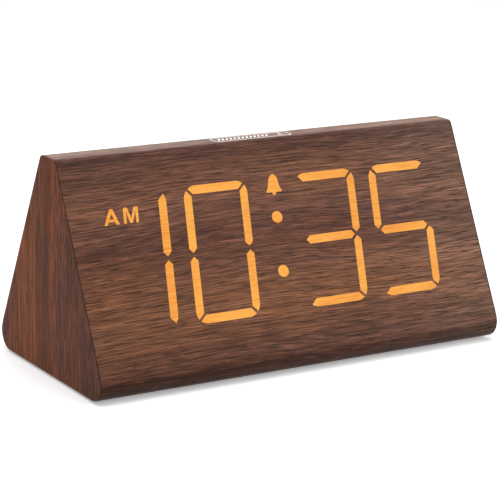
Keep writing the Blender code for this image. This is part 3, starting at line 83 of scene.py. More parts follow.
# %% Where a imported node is
def spot(face, node):
    """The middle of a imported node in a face's own frame, in millimetres."""
    points = [face.inverted() @ v.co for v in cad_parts[node].data.vertices]
    return Vector([(min(values) + max(values)) / 2 for values in zip(*points)]) / MM


DISPLAY_UP = spot(FRONT, "colon_window").y
print("middle of the display:", round(DISPLAY_UP, 2), "mm up the front")

# %% [markdown]
# ## The camera
# The photograph was taken a little above the clock and to its left, with a long lens. The camera's place was
# found by fitting the outline of the case and the corners of the digits. A camera looks along its own -Z, so its
# matrix is built from the direction back to it, then rolled by about one degree.

# %% Camera
TARGET = Vector((-1.9918, 0.0, 43.5147)) * MM
AZIMUTH = math.radians(-31.3941)
ELEVATION = math.radians(14.3284)
ROLL = math.radians(0.9775)
DISTANCE = 902.7594 * MM
FOCAL_PIXELS = 2051.5991
PHOTO_PIXELS = 500
SENSOR_WIDTH = 36


def add_object(name, data):
    """A new object in the scene."""
    thing = bpy.data.objects.new(name, data)
    bpy.context.scene.collection.objects.link(thing)
    return thing


to_camera = Vector((math.sin(AZIMUTH) * math.cos(ELEVATION), -math.cos(AZIMUTH) * math.cos(ELEVATION),
                    math.sin(ELEVATION)))
sideways = Vector((math.cos(AZIMUTH), math.sin(AZIMUTH), 0.0))
upward = to_camera.cross(sideways)
rolled_sideways = sideways * math.cos(ROLL) + upward * math.sin(ROLL)
rolled_upward = upward * math.cos(ROLL) - sideways * math.sin(ROLL)
camera = add_object("camera", bpy.data.cameras.new("camera"))
camera.data.sensor_width = SENSOR_WIDTH
camera.data.lens = FOCAL_PIXELS * SENSOR_WIDTH / PHOTO_PIXELS
camera.matrix_world = Matrix((rolled_sideways, rolled_upward, to_camera)).transposed().to_4x4()
camera.location = TARGET + to_camera * DISTANCE
bpy.context.scene.camera = camera
print("lens:", round(camera.data.lens, 1), "mm")

# %% [markdown]
# ## Colours and nodes
# Colours are written as the hex values of a picture, which are sRGB. Blender's shaders work in linear light, so
# one function turns them. Another adds a node, sets its properties and feeds its inputs. Inputs without a name go
# in from the top of the node downwards, and a node that is given as an input stands for its first output in use.
# A recipe says only what feeds a shader, with the object's own coordinates as its place, so that it can be read in
# one go.

# %% Helpers for materials
PREFIXES = ("ShaderNode", "GeometryNode", "FunctionNode", "Node")


def tone(code):
    """Linear colour of an sRGB hex value such as '7a5548'."""
    values = [int(code[i:i + 2], 16) / 255 for i in (0, 2, 4)]
    return tuple(v / 12.92 if v <= 0.04045 else ((v + 0.055) / 1.055) ** 2.4 for v in values) + (1.0,)


def feed(tree, node, *in_order, **named):
    """Give a node its inputs: values, or nodes or output sockets to link. A name has _ for a space."""
    in_use = [socket for socket in node.inputs if socket.enabled]
    by_name = [(node.inputs[name.replace("_", " ")], value) for name, value in named.items()]
    for socket, value in [*zip(in_use, in_order), *by_name]:
        if isinstance(value, bpy.types.Node):
            value = next(output for output in value.outputs if output.enabled)
        if isinstance(value, bpy.types.NodeSocket):
            tree.links.new(value, socket)
        else:
            socket.default_value = value


def add(tree, kind, *in_order, **named):
    """Add a node of a kind, without its prefix. A name with a capital is an input, any other a setting."""
    node = tree.nodes.new(next(prefix + kind for prefix in PREFIXES if hasattr(bpy.types, prefix + kind)))
    for name in [name for name in named if name.islower()]:
        setattr(node, name, named.pop(name))
    feed(tree, node, *in_order, **named)
    return node


def blank(name):
    """A new material, its node tree, and the shader that its output shows."""
    material = bpy.data.materials.new(name)
    material.use_nodes = True
    return material, material.node_tree, material.node_tree.nodes["Principled BSDF"]


def recipe(inputs):
    """Turn a function that gives a shader's inputs into one that makes a material of a given name."""
    def make(name, *values, **named):
        material, tree, shader = blank(name)
        place = add(tree, "TexCoord").outputs["Object"]
        feed(tree, shader, **inputs(tree, place, *values, **named))
        return material
    return make


def calc(tree, operation, *values):
    """Arithmetic on values, nodes or sockets."""
    return add(tree, "Math", *values, operation=operation)


def noise(tree, place, waves, detail, rough=0.5, **more):
    """Noise with so many waves to each unit of its place."""
    return add(tree, "TexNoise", place, waves, detail, rough, **more)


def spread(tree, value, span, new_span=(0.0, 1.0)):
    """A value carried from one span to another, and kept inside it."""
    return add(tree, "MapRange", value, *span, *new_span)


def blend(tree, share, *colours):
    """A mix of two colours, each a hex value or a node."""
    colours = [tone(colour) if isinstance(colour, str) else colour for colour in colours]
    return add(tree, "Mix", share, *colours, data_type="RGBA")


print("amber in linear light:", [round(v, 3) for v in tone("f8a84f")])

# %% [markdown]
# ## Light and floor
# The clock stands on a white sweep in soft, even light. A wide lamp above and in front gives the ridge its
# lighter tone, helped by a painted sheen in the film, and the white world fills the rest. The floor adds a little
# white of its own for camera rays
# only, so it burns out to white round the clock but still shows the soft shadow under it.

# %% World and lamps
WHITE = (1, 1, 1, 1)
WORLD_LIGHT = 0.5
AIM = Vector((0, 0, 0.05))


def seen_directly(tree):
    """1 for what the camera sees, also in metal or through glass, and 0 for light that falls on things."""
    ray = add(tree, "LightPath")
    clear = calc(tree, "MAXIMUM", ray.outputs["Is Camera Ray"], ray.outputs["Is Transmission Ray"])
    return calc(tree, "MAXIMUM", clear, ray.outputs["Is Glossy Ray"])


world = bpy.data.worlds.new("white_studio")
bpy.context.scene.world = world
world.use_nodes = True
sky = world.node_tree
sky.nodes.clear()
strength = spread(sky, seen_directly(sky), (0.0, 1.0), (WORLD_LIGHT, 1.0))
add(sky, "OutputWorld", Surface=add(sky, "Background", Color=WHITE, Strength=strength))


def lamp(name, place, size, watts):
    """A round soft lamp that shines at the middle of the clock."""
    thing = add_object(name, bpy.data.lights.new(name, "AREA"))
    thing.data.shape = "DISK"
    thing.data.size = size
    thing.data.energy = watts
    thing.matrix_world = (AIM - Vector(place)).to_track_quat("-Z", "Y").to_matrix().to_4x4()
    thing.location = place


lamp("high_lamp", (-0.15, -0.25, 1.1), 0.9, 7.0)
lamp("front_lamp", (0.7, -0.85, 0.5), 0.7, 5.5)
lamp("back_lamp", (0.2, 0.9, 0.8), 0.8, 4.0)

# %% Floor
FLOOR_RADIUS = 3.0
FLOOR_SIDES = 64
FLOOR_GLOW = 0.3

# Smooth white paper, whose own faint glow for the camera keeps the ground of the picture white
sweep, tree, paper = blank("white_paper_sweep")
direct = seen_directly(tree)
sheet = blend(tree, direct, "a0a0a2", "f2f2f2")
feed(tree, paper, Base_Color=sheet, Roughness=0.9)
lift = calc(tree, "MULTIPLY", direct, FLOOR_GLOW)
shine = add(tree, "Emission", Color=WHITE, Strength=lift)
feed(tree, tree.nodes["Material Output"], Surface=add(tree, "AddShader", paper, shine))
bm = bmesh.new()
bmesh.ops.create_circle(bm, cap_ends=True, radius=FLOOR_RADIUS, segments=FLOOR_SIDES)
floor = add_object("floor", bpy.data.meshes.new("floor"))
bm.to_mesh(floor.data)
bm.free()
floor.data.materials.append(sweep)
bpy.context.scene.view_settings.view_transform = "Standard"
print("floor:", 2 * FLOOR_RADIUS, "m across")

# %% [markdown]
# ## Walnut film
# The case is not solid walnut: it is board wrapped in a printed paper film under a satin lacquer, with the pores
# pressed in. The print runs along the case on the front, rear and ridge, and upright on the two ends. A colour
# ramp across the grain lays the broad bands of the print, light at mid height, with painted shade at the foot and
# under the ridge. Stretched noise adds the rest: patches of red and grey brown, long streaks, fine fibres, and
# short dark pores, and a painted sheen pales the ridge and the minutes' end. All of it reads the object's own
# coordinates, squeezed along the grain, so it keeps its scale in millimetres and runs over the rounded edges
# without a seam.

# %% How the film is printed
# Waves a millimetre across and along the grain, detail, roughness, and the part of the noise that is in use. Real
# fibres and pores are 0.05 to 0.2 mm wide, too fine to show, so theirs are drawn coarser than real ones
LAYERS = {"patches": (0.06, 0.008, 2.0, 0.6, 0.38, 0.62), "streaks": (0.12, 0.004, 3.0, 0.75, 0.3, 0.7),
          "fibres": (3.2, 0.06, 1.0, 0.5, 0.3, 0.7), "lines": (0.6, 0.005, 2.0, 0.6, 0.3, 0.7),
          "glints": (1.1, 0.12, 2.0, 0.6, 0.56, 0.7), "pores": (2.8, 0.12, 1.0, 0.6, 0.55, 0.65)}
WANDER = 2.0  # millimetres that the fibres wander to each side


def set_stops(ramp, stops, interpolation):
    """Give a colour ramp its (position, colour) stops."""
    ramp.interpolation = interpolation
    while len(ramp.elements) < len(stops):
        ramp.elements.new(0.5)
    for element, (position, colour) in zip(ramp.elements, stops):
        element.position = position
        element.color = colour


@recipe
def walnut_film(tree, place, grain, across, seed, bands, pore_ink, contrast, gloss, cut_edge=0.0, ridge_sheen_share=0.0):
    """Printed walnut film. Grain and across are axes, and bands are (millimetres across, colour) pairs."""
    in_mm = add(tree, "VectorMath", place, (1000, 1000, 1000), operation="MULTIPLY")
    seeded = add(tree, "VectorMath", in_mm, (seed, seed * 0.7, seed * 1.3))

    def grained(off, on):
        """A vector with one value off the grain's axis and another on it."""
        return [on if axis == grain else off for axis in range(3)]

    # The fibres wander: waves of about 55 mm across and 110 mm along bend the print
    wander_place = add(tree, "VectorMath", seeded, grained(0.018, 0.009), operation="MULTIPLY")
    wander = noise(tree, wander_place, 1.0, 0.5)
    bend = spread(tree, wander, (0.2, 0.8), (-WANDER, WANDER))
    bent = add(tree, "VectorMath", grained(1.0, 0.0), Scale=bend, operation="SCALE")
    print_place = add(tree, "VectorMath", seeded, bent)
    band_place = add(tree, "VectorMath", in_mm, bent)

    def layer(name, *new_span):
        """One layer of noise, carried to a new span."""
        wide, long, detail, rough, low, high = LAYERS[name]
        squeezed = add(tree, "VectorMath", print_place, grained(wide, long), operation="MULTIPLY")
        value = noise(tree, squeezed, 1.0, detail, rough)
        return spread(tree, value, (low, high), new_span)

    lowest, highest = bands[0][0], bands[-1][0]
    level = add(tree, "SeparateXYZ", band_place).outputs[across]
    broad = add(tree, "ValToRGB", Fac=spread(tree, level, (lowest, highest)))
    stops = [((height - lowest) / (highest - lowest), tone(colour)) for height, colour in bands]
    set_stops(broad.color_ramp, stops, "EASE")
    # A painted sheen makes the print a little paler and greyer towards the minutes' end of the case
    along_case = add(tree, "SeparateXYZ", in_mm).outputs["X"]
    sheen_to_the_right = spread(tree, along_case, (30.0, 100.0), (0.0, 0.15))
    # A painted sheen pales the print on the ridge, most of all towards the back, where light from above and
    # reflections of the white surroundings fall
    height = add(tree, "VectorMath", in_mm, (0.0, 0.02, 1.0), operation="DOT_PRODUCT")
    ridge_sheen = spread(tree, height, (94.0, 94.39), (0.0, ridge_sheen_share))
    print_colour = broad
    for amount, colour in ((layer("patches", 0.0, 0.5), "5a3c33"), (layer("glints", 0.0, 0.35), "8f5f49"),
                           (sheen_to_the_right, "a08878"), (ridge_sheen, "b08a78")):
        print_colour = blend(tree, amount, print_colour, colour)
    streaks, fibres, lines = [layer(name, 1 - strength * contrast, 1 + strength * contrast)
                              for name, strength in (("streaks", 0.3), ("fibres", 0.62), ("lines", 0.24))]
    shade = calc(tree, "MULTIPLY", streaks, fibres)
    shade = calc(tree, "MULTIPLY", shade, lines)
    print_colour = add(tree, "VectorMath", print_colour, Scale=shade, operation="SCALE")
    # Where the film is trimmed at the edge of an end, its cut is dark: there the surface turns away from X
    facing = add(tree, "SeparateXYZ", add(tree, "TexCoord").outputs["Normal"]).outputs["X"]
    facing = calc(tree, "ABSOLUTE", facing)
    cut = spread(tree, facing, (0.5, 0.9), (cut_edge, 0.0))
    pores = layer("pores", 0.0, 0.8)
    for amount, colour in ((pores, pore_ink), (cut, "2c1d18")):
        print_colour = blend(tree, amount, print_colour, colour)
    pressed_in = add(tree, "Bump", Height=pores, Distance=0.08 * MM, Strength=0.3, invert=True)
    return dict(Base_Color=print_colour, Roughness=0.5, Specular_IOR_Level=gloss, Normal=pressed_in)


print("mm across and along:", {name: (round(1 / row[0], 1), round(1 / row[1])) for name, row in LAYERS.items()})

# %% Film along the case and upright on its ends
# The dark stops at 1 and 7 mm are painted shade at the foot, and the dark stops at 87 and 92.5 mm are painted shade
# under the ridge; the rest are the print's own bands
LENGTHWISE_BANDS_AND_SHADE = [(1, "3f251a"), (7, "462a1c"), (12, "5e3927"), (26, "754b33"), (37, "7d4f33"), (48, "68412c"),
                    (58.5, "5c3728"), (72, "774d37"), (80, "714934"), (87, "5e3c2c"), (92.5, "54352a")]
UPRIGHT_BANDS = [(-34, "734430"), (-22, "884d30"), (-10, "7a432d"), (2, "884b2c"), (16, "985630"),
                 (24, "8c5030"), (34, "8a4e2f"), (46, "784630")]
X_AXIS, Y_AXIS, Z_AXIS = range(3)


def dress(material, *names):
    """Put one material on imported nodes."""
    for name in names:
        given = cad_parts[name].data.materials
        given.clear()
        given.append(material)


# The film along the case gets the painted sheen on its ridge at half strength
film_along = walnut_film("walnut_film_along_the_case", X_AXIS, Z_AXIS, 13.0, LENGTHWISE_BANDS_AND_SHADE, "2d1b15",
                         contrast=1.0, gloss=0.1, ridge_sheen_share=0.5)
film_upright = walnut_film("walnut_film_upright_on_the_ends", Z_AXIS, Y_AXIS, 57.0, UPRIGHT_BANDS, "3c251e",
                           contrast=1.12, gloss=0.05, cut_edge=0.85)
dress(film_upright, "left_end_veneer", "right_end_veneer")
print("film materials:", film_along.name, film_upright.name)

# %% [markdown]
# ## Moulded plastic
# The rear panel, the battery door and the parts in them are injection-moulded ABS. The mould is spark-eroded, so
# the plastic leaves it with a fine matt grain that breaks up highlights. The real grain is about 0.1 mm, too fine
# to show at this distance, so it is drawn at 0.5 mm. Slow noise varies the gloss a little, as handling does.
# A picture of grain would do too, but noise on the object's coordinates has no seams and no file.

# %% Moulded ABS
GRAIN_MM = 0.5
HANDLED = 55.0  # waves a metre: one patch of wear each 18 mm
KEYS = ("time", "alarm", "minus", "plus")


@recipe
def moulded_abs(tree, place, dark, light, rough):
    """Injection-moulded ABS with a spark-eroded grain."""
    grain = noise(tree, place, 1 / (GRAIN_MM * MM), 2.0, 0.6)
    handled = noise(tree, place, HANDLED, 3.0)
    speckle = calc(tree, "MULTIPLY", grain, handled)
    share = spread(tree, speckle, (0.15, 0.4))
    base = blend(tree, share, dark, light)
    gloss = spread(tree, handled, (0.35, 0.65), (rough - 0.07, rough + 0.07))
    relief = add(tree, "Bump", Height=grain, Distance=0.06 * MM, Strength=0.5)
    return dict(Base_Color=base, Roughness=gloss, Normal=relief)


black_abs = moulded_abs("black_moulded_abs", "141415", "2a2a2c", 0.5)
grey_abs = moulded_abs("grey_moulded_abs", "3a3a3c", "56565a", 0.45)
white_abs = moulded_abs("white_moulded_abs", "d9d8d2", "f0efea", 0.35)
dress(black_abs, "rear_panel", "battery_tray", "battery_door", "dimmer_pot", "dc_inlet",
      *[f"{key}_plunger" for key in KEYS])
dress(grey_abs, "alarm_switch_knob", "dimmer_wheel", *[f"{key}_button" for key in KEYS])
dress(white_abs, "display_reflector")
print("plastics:", black_abs.name, grey_abs.name, white_abs.name)

# %% [markdown]
# ## Plated metal
# The screws, contacts and springs are zinc-plated steel: bright, with a slightly mottled, brushed gloss. The USB
# shell is nickel-plated and smoother, and the touch electrode is a strip of copper foil with faint creases. A
# metal's colour is its reflection, so base colour and roughness do the work and the IOR stays at its default.

# %% Plated metal
BRUSHED = (250, 4000, 4000)  # waves a metre: marks 4 mm long and 0.25 mm wide, coarser than real ones


@recipe
def plated(tree, place, dull, bright, rough, mottle_mm):
    """Plated metal whose gloss is mottled at a scale of a few millimetres and finely brushed."""
    mottle = noise(tree, place, 1 / (mottle_mm * MM), 4.0, 0.6)
    brushed_place = add(tree, "VectorMath", place, BRUSHED, operation="MULTIPLY")
    brushed = noise(tree, brushed_place, 1.0, 2.0)
    base = blend(tree, mottle, dull, bright)
    both = calc(tree, "ADD", mottle, brushed)
    gloss = spread(tree, both, (0.7, 1.3), (rough - 0.08, rough + 0.1))
    relief = add(tree, "Bump", Height=brushed, Distance=0.01 * MM, Strength=0.4)
    return dict(Base_Color=base, Metallic=1.0, Roughness=gloss, Normal=relief)


zinc = plated("zinc_plated_steel", "9b9da3", "c9cbd0", 0.32, 2.0)
nickel = plated("nickel_plated_steel", "b9b6ae", "dcd9d2", 0.22, 6.0)
copper = plated("copper_foil", "b06a48", "d98f68", 0.3, 4.0)
dress(zinc, *[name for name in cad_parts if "_screw_" in name], "bridge_contact", "positive_contact",
      "negative_contact", "upper_spring", "lower_spring")
dress(nickel, "usb_socket")
dress(copper, "touch_pad")
print("metals:", zinc.name, nickel.name, copper.name)

# %% [markdown]
# ## Board, rubber and paper
# Behind the film is medium-density fibreboard: pressed wood fibre, a flat tan with short lighter and darker
# fibres and no grain. The feet are die-cut rubber, nearly black and quite matt. The speaker's cone is pressed
# black paper. One recipe serves all three: two sizes of noise between two colours, with their own gloss and relief.

# %% Pressed and cut materials
CLOUDS = 90.0  # waves a metre: one lighter or darker cloud each 11 mm


@recipe
def pressed(tree, place, dark, light, fibre_mm, rough, relief_mm):
    """A matt material of short fibres or grains that lie every way."""
    fibre = noise(tree, place, 1 / (fibre_mm * MM), 4.0, 0.7, Distortion=1.5)
    cloud = noise(tree, place, CLOUDS, 1.0)
    mixed = add(tree, "Mix", 0.3, fibre, cloud, data_type="FLOAT")
    share = spread(tree, mixed, (0.35, 0.65))
    base = blend(tree, share, dark, light)
    relief = add(tree, "Bump", Height=fibre, Distance=relief_mm * MM, Strength=0.6)
    return dict(Base_Color=base, Roughness=rough, Specular_IOR_Level=0.3, Normal=relief)


# Real fibres and grains are near 0.1 mm, too fine to show, so they are drawn 0.4 to 0.8 mm wide
fibreboard = pressed("pressed_fibreboard", "8f6d4c", "b8966f", 0.8, 0.9, 0.06)
rubber = pressed("die_cut_rubber", "161616", "262626", 0.4, 0.85, 0.03)
cone_paper = pressed("pressed_cone_paper", "121212", "2b2a29", 0.6, 0.8, 0.05)
dress(fibreboard, *[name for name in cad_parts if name.endswith("_board") and name not in
                    ("display_board", "control_board")])
dress(rubber, *[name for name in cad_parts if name.startswith("foot_")])
dress(cone_paper, "speaker")
print("pressed and cut:", fibreboard.name, rubber.name, cone_paper.name)

# %% [markdown]
# ## Circuit boards
# Solder mask is a glossy green lacquer over copper tracks. The tracks stand up a little and show as paler lines
# that run along and across the board. A brick pattern with a dark mortar would look like a wall, so the tracks
# come from stripes at the 2.54 mm pitch of the parts, switched on and off by a coarse cell noise.

# %% Solder mask over tracks
TRACK_PITCH = 2.54 * MM
ALONG_TRACK, ACROSS_TRACK = 60, 390  # cells a metre: a stretch of track is about 17 mm long


def stripes(tree, coordinate, pitch):
    """A wave between -1 and 1 with one crest at each pitch along a coordinate."""
    turns = calc(tree, "MULTIPLY", coordinate, 2 * math.pi / pitch)
    return calc(tree, "SINE", turns)


@recipe
def solder_mask(tree, place, mask, track):
    """Green lacquer over copper tracks that run along the board and across it."""
    apart = add(tree, "SeparateXYZ", place)
    tracks = []
    for way, stretch in (("X", (ACROSS_TRACK, ALONG_TRACK, ALONG_TRACK)),
                         ("Z", (ALONG_TRACK, ALONG_TRACK, ACROSS_TRACK))):
        wave = stripes(tree, apart.outputs[way], TRACK_PITCH)
        line = spread(tree, wave, (0.72, 0.86))
        cells = add(tree, "VectorMath", place, stretch, operation="MULTIPLY")
        cell = add(tree, "TexVoronoi", Vector=cells, Scale=1.0)
        there = calc(tree, "LESS_THAN", cell, 0.48)
        tracks.append(calc(tree, "MULTIPLY", line, there))
    laid = calc(tree, "MAXIMUM", tracks[0], tracks[1])
    base = blend(tree, laid, mask, track)
    relief = add(tree, "Bump", Height=laid, Distance=0.04 * MM, Strength=0.6)
    return dict(Base_Color=base, Roughness=0.3, Normal=relief)


mask_green = solder_mask("green_solder_mask", "174a2a", "2f7446")
dress(mask_green, "display_board", "control_board")
print("boards:", mask_green.name)

# %% [markdown]
# ## Leads, ribbon and cells
# The leads have a soft satin PVC sleeve. The ribbon cable is a row of such conductors, 1.27 mm apart, so it shows
# one furrow between each two. The backup cells wear a printed plastic sleeve: dark, with a gold band at the
# positive end, and bare metal at both ends. All three read one coordinate of the object, the one across the
# ribbon or along the cell, because that is how the real ones are laid out.

# %% Jackets of the cells
JACKET = [(0.0, "c4c2bb"), (1.6, "c08a3e"), (13.0, "23252b"), (43.4, "c4c2bb"), (44.5, "c4c2bb")]
JACKET_METAL = [1.0, 0.8, 0.0, 1.0, 1.0]
WEAR = 300.0  # waves a metre: one each 3.3 mm


@recipe
def banded(tree, place, way, nose, marks, metals, rough):
    """Bands of colour along X. Marks are (millimetres from the nose, colour) pairs."""
    along = add(tree, "SeparateXYZ", place).outputs["X"]
    reach = marks[-1][0] * MM
    share = spread(tree, along, (nose, nose + way * reach))
    print_colour = add(tree, "ValToRGB", Fac=share)
    bare = add(tree, "ValToRGB", Fac=share)
    colours = [(far * MM / reach, tone(colour)) for far, colour in marks]
    greys = [(position, (metal, metal, metal, 1)) for (position, colour), metal in zip(colours, metals)]
    set_stops(print_colour.color_ramp, colours, "CONSTANT")
    set_stops(bare.color_ramp, greys, "CONSTANT")
    wear = noise(tree, place, WEAR, 3.0)
    shade = spread(tree, wear, (0.0, 1.0), (0.88, 1.12))
    base = add(tree, "VectorMath", print_colour, Scale=shade, operation="SCALE")
    gloss = spread(tree, wear, (0.0, 1.0), (rough - 0.08, rough + 0.08))
    return dict(Base_Color=base, Metallic=bare, Roughness=gloss)


for cell, way in (("upper_cell", 1), ("lower_cell", -1)):
    low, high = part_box(cell)
    nose = low[0] if way > 0 else high[0]
    dress(banded(f"printed_sleeve_of_{cell}", way, nose, JACKET, JACKET_METAL, 0.3), cell)
    print(cell, "points its nose at x =", round(nose / MM, 1), "mm")

# %% Sleeves of the leads
CONDUCTOR_PITCH = 1.27 * MM
SHEEN_PITCH = 5 * CONDUCTOR_PITCH  # a lead has only a slow wave, one each 6 mm
SHADE_PATCHES = 500.0  # waves a metre: one each 2 mm


@recipe
def sleeved(tree, place, dark, light, pitch):
    """Satin PVC, with a furrow at each pitch across X: painted shade in the furrow and painted sheen on the crest.
    """
    across = add(tree, "SeparateXYZ", place).outputs["X"]
    wave = stripes(tree, across, pitch)
    shade_patches = noise(tree, place, SHADE_PATCHES, 2.0)
    # The colour follows the wave: painted shade in each furrow and painted sheen on each crest, stronger in some
    # patches
    share = calc(tree, "MULTIPLY", wave, shade_patches)
    share = spread(tree, share, (-0.5, 0.5))
    base = blend(tree, share, dark, light)
    relief = add(tree, "Bump", Height=wave, Distance=0.1 * MM, Strength=0.5)
    return dict(Base_Color=base, Roughness=0.45, Normal=relief)


dress(sleeved("grey_ribbon_cable", "8d8d90", "b9b9bb", CONDUCTOR_PITCH), "ribbon_cable")
dress(sleeved("pvc_lead_sleeve", "77777a", "9b9b9e", SHEEN_PITCH), "touch_lead", "speaker_lead", "battery_lead")
dressed = {node.data.materials[0].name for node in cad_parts.values() if node.data.materials}
print("finishes in use:", len(dressed))

# %% [markdown]
# ## From a mesh to a piece
# Every added piece ends the same way: a mesh with its place in it, a material, the body that it rides on, and
# the imported nodes that it stands for, if any.

# %% Settle a piece
SHARP_ANGLE = math.radians(30)


def settle(name, mesh, body="case", replaced=()):
    """Make a piece of a mesh that already lies in its place."""
    mesh.name = name
    piece = add_object(name, mesh)
    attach(piece, body)
    if replaced:
        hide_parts(*replaced)


def lay(bm, mesh, place):
    """Write a bmesh into a mesh at its place, faces outwards, smooth but for its sharp edges."""
    bm.transform(place)
    bmesh.ops.recalc_face_normals(bm, faces=bm.faces)
    bm.to_mesh(mesh)
    bm.free()
    mesh.shade_smooth()
    mesh.set_sharp_from_angle(angle=SHARP_ANGLE)
    return mesh


def mesh_of(bm, material, place):
    """A mesh from a bmesh, with one material, moved to its place."""
    mesh = bpy.data.meshes.new("mesh")
    mesh.materials.append(material)
    return lay(bm, mesh, place)


def joined(mesh, reach):
    """A mesh as a bmesh, with points that lie within a reach of each other joined up."""
    bm = bmesh.new()
    bm.from_mesh(mesh)
    bmesh.ops.remove_doubles(bm, verts=bm.verts, dist=reach)
    return bm


def plain_mesh(carrier):
    """The mesh that an object's modifiers or outlines make. The object is removed."""
    graph = bpy.context.evaluated_depsgraph_get()
    mesh = bpy.data.meshes.new_from_object(carrier.evaluated_get(graph))
    carrier.modifiers.clear()
    bpy.data.objects.remove(carrier)
    return mesh


print("edges stay sharp from", round(math.degrees(SHARP_ANGLE)), "degrees")

# %% [markdown]
# ## What repeats: Geometry Nodes
# Ribs, contacts and screws repeat, so each comes from a small tree of nodes with named sizes, made once and used
# again with other numbers. Arrays or copied objects would do too, but a tree keeps one description for all of
# them, and its sizes can be tried out in the modifier panel. Each tree ends by turning its instances into real
# faces with their material, and the result is kept as a plain mesh.

# %% Trees with named sizes
IN_MM = Matrix.Scale(MM, 4)
JOIN_REACH = 0.0001  # millimetres, the unit of the trees
KINDS = {"Count": "Int", "Seed": "Int", "Material": "Material"}  # any other size is a Float


def tree_with(name, *sizes):
    """A Geometry Nodes tree with geometry in and out and named inputs, and its input sockets."""
    tree = bpy.data.node_groups.new(name, "GeometryNodeTree")
    for in_out in ("OUTPUT", "INPUT"):
        tree.interface.new_socket("Geometry", in_out=in_out, socket_type="NodeSocketGeometry")
    for size in sizes:
        tree.interface.new_socket(size, in_out="INPUT", socket_type="NodeSocket" + KINDS.get(size, "Float"))
    return tree, add(tree, "GroupInput").outputs


def end_tree(tree, instances, material):
    """Make instances real, give them their material and end the tree."""
    real = add(tree, "RealizeInstances", Geometry=instances)
    finished = add(tree, "SetMaterial", Geometry=real, Material=material)
    add(tree, "GroupOutput", Geometry=finished)
    print("tree:", tree.name, "with", len(tree.nodes), "nodes")


def grow(tree, values, place, points=()):
    """The plain mesh that a tree makes from its values and from points, in millimetres, moved to its place."""
    seed_mesh = bpy.data.meshes.new("points")
    seed_mesh.from_pydata(points, [], [])
    carrier = add_object("carrier", seed_mesh)
    modifier = carrier.modifiers.new("tree", "NODES")
    modifier.node_group = tree
    for item in tree.interface.items_tree:
        if item.in_out == "INPUT" and item.name in values:
            modifier[item.identifier] = values[item.name]
    mesh = plain_mesh(carrier)
    return lay(joined(mesh, JOIN_REACH), mesh, place @ IN_MM)


def on(face, x, up, out):
    """Place on a face, in millimetres."""
    return face @ Matrix.Translation((x * MM, up * MM, out * MM))


# %% A row of ribs
RIB_SIDES = 16
ribs, given = tree_with("row_of_ribs", "Count", "Pitch", "Length", "Width", "Height", "Turn", "Material")
half = calc(ribs, "MULTIPLY", given["Length"], 0.5)
less = calc(ribs, "MULTIPLY", half, -1.0)
line = add(ribs, "CurvePrimitiveLine", Start=add(ribs, "CombineXYZ", X=less), End=add(ribs, "CombineXYZ", X=half))
wide = calc(ribs, "MULTIPLY", given["Width"], 0.5)
squash = add(ribs, "CombineXYZ", wide, given["Height"], 1.0)
hoop = add(ribs, "CurvePrimitiveCircle", Resolution=RIB_SIDES, Radius=1.0)
section = add(ribs, "Transform", Geometry=hoop, Scale=squash)
rib = add(ribs, "CurveToMesh", Curve=line, Profile_Curve=section, Fill_Caps=True)
# The row runs along X and is centred: it starts half its length back
gaps = calc(ribs, "SUBTRACT", given["Count"], 1.0)
row = calc(ribs, "MULTIPLY", gaps, given["Pitch"])
first = add(ribs, "CombineXYZ", X=calc(ribs, "MULTIPLY", row, -0.5))
pace = add(ribs, "CombineXYZ", X=given["Pitch"])
places = add(ribs, "MeshLine", Count=given["Count"], Start_Location=first, Offset=pace)
turned = add(ribs, "CombineXYZ", Z=given["Turn"])
copies = add(ribs, "InstanceOnPoints", Points=places, Instance=rib, Rotation=turned)
end_tree(ribs, copies, given["Material"])


def rib_row(name, material, place, slot, body="case", turn=90.0, **sizes):
    """Settle a row of ribs. A turn of 90 degrees sets the ribs across the row."""
    values = {key.capitalize(): value for key, value in sizes.items()}
    values.update({"Turn": math.radians(turn), "Material": material})
    settle(name, grow(ribs, values, place), body)


# %% Cross-recess screws
HEAD_SIDES = 48
SHANK_SIDES = 24
QUARTER_TURN = math.pi / 2
screws, given = tree_with("cross_recess_screws", "Head Radius", "Head Height", "Shank Radius", "Shank Length",
                          "Cross Length", "Cross Width", "Cross Depth", "Seed", "Material")
ball = add(screws, "MeshUVSphere", Segments=HEAD_SIDES, Rings=HEAD_SIDES // 2, Radius=1.0)
flatten = add(screws, "CombineXYZ", given["Head Radius"], given["Head Radius"], given["Head Height"])
dome = add(screws, "Transform", Geometry=ball, Scale=flatten)
# A block twice as broad as the head takes away the half of the ball that lies below it
broad = calc(screws, "MULTIPLY", given["Head Radius"], 4.0)
size = add(screws, "CombineXYZ", broad, broad, broad)
block = add(screws, "MeshCube", Size=size)
below = add(screws, "CombineXYZ", Z=calc(screws, "MULTIPLY", broad, -0.5))
tools = [add(screws, "Transform", Geometry=block, Translation=below)]
deep = calc(screws, "MULTIPLY", given["Cross Depth"], 2.0)
crown = add(screws, "CombineXYZ", Z=given["Head Height"])
for x_size, y_size in (("Cross Length", "Cross Width"), ("Cross Width", "Cross Length")):
    size = add(screws, "CombineXYZ", given[x_size], given[y_size], deep)
    blade = add(screws, "MeshCube", Size=size)
    tools.append(add(screws, "Transform", Geometry=blade, Translation=crown))
head = add(screws, "MeshBoolean", Mesh_1=dome, operation="DIFFERENCE", solver="EXACT")
for tool in tools:
    feed(screws, head, Mesh_2=tool)
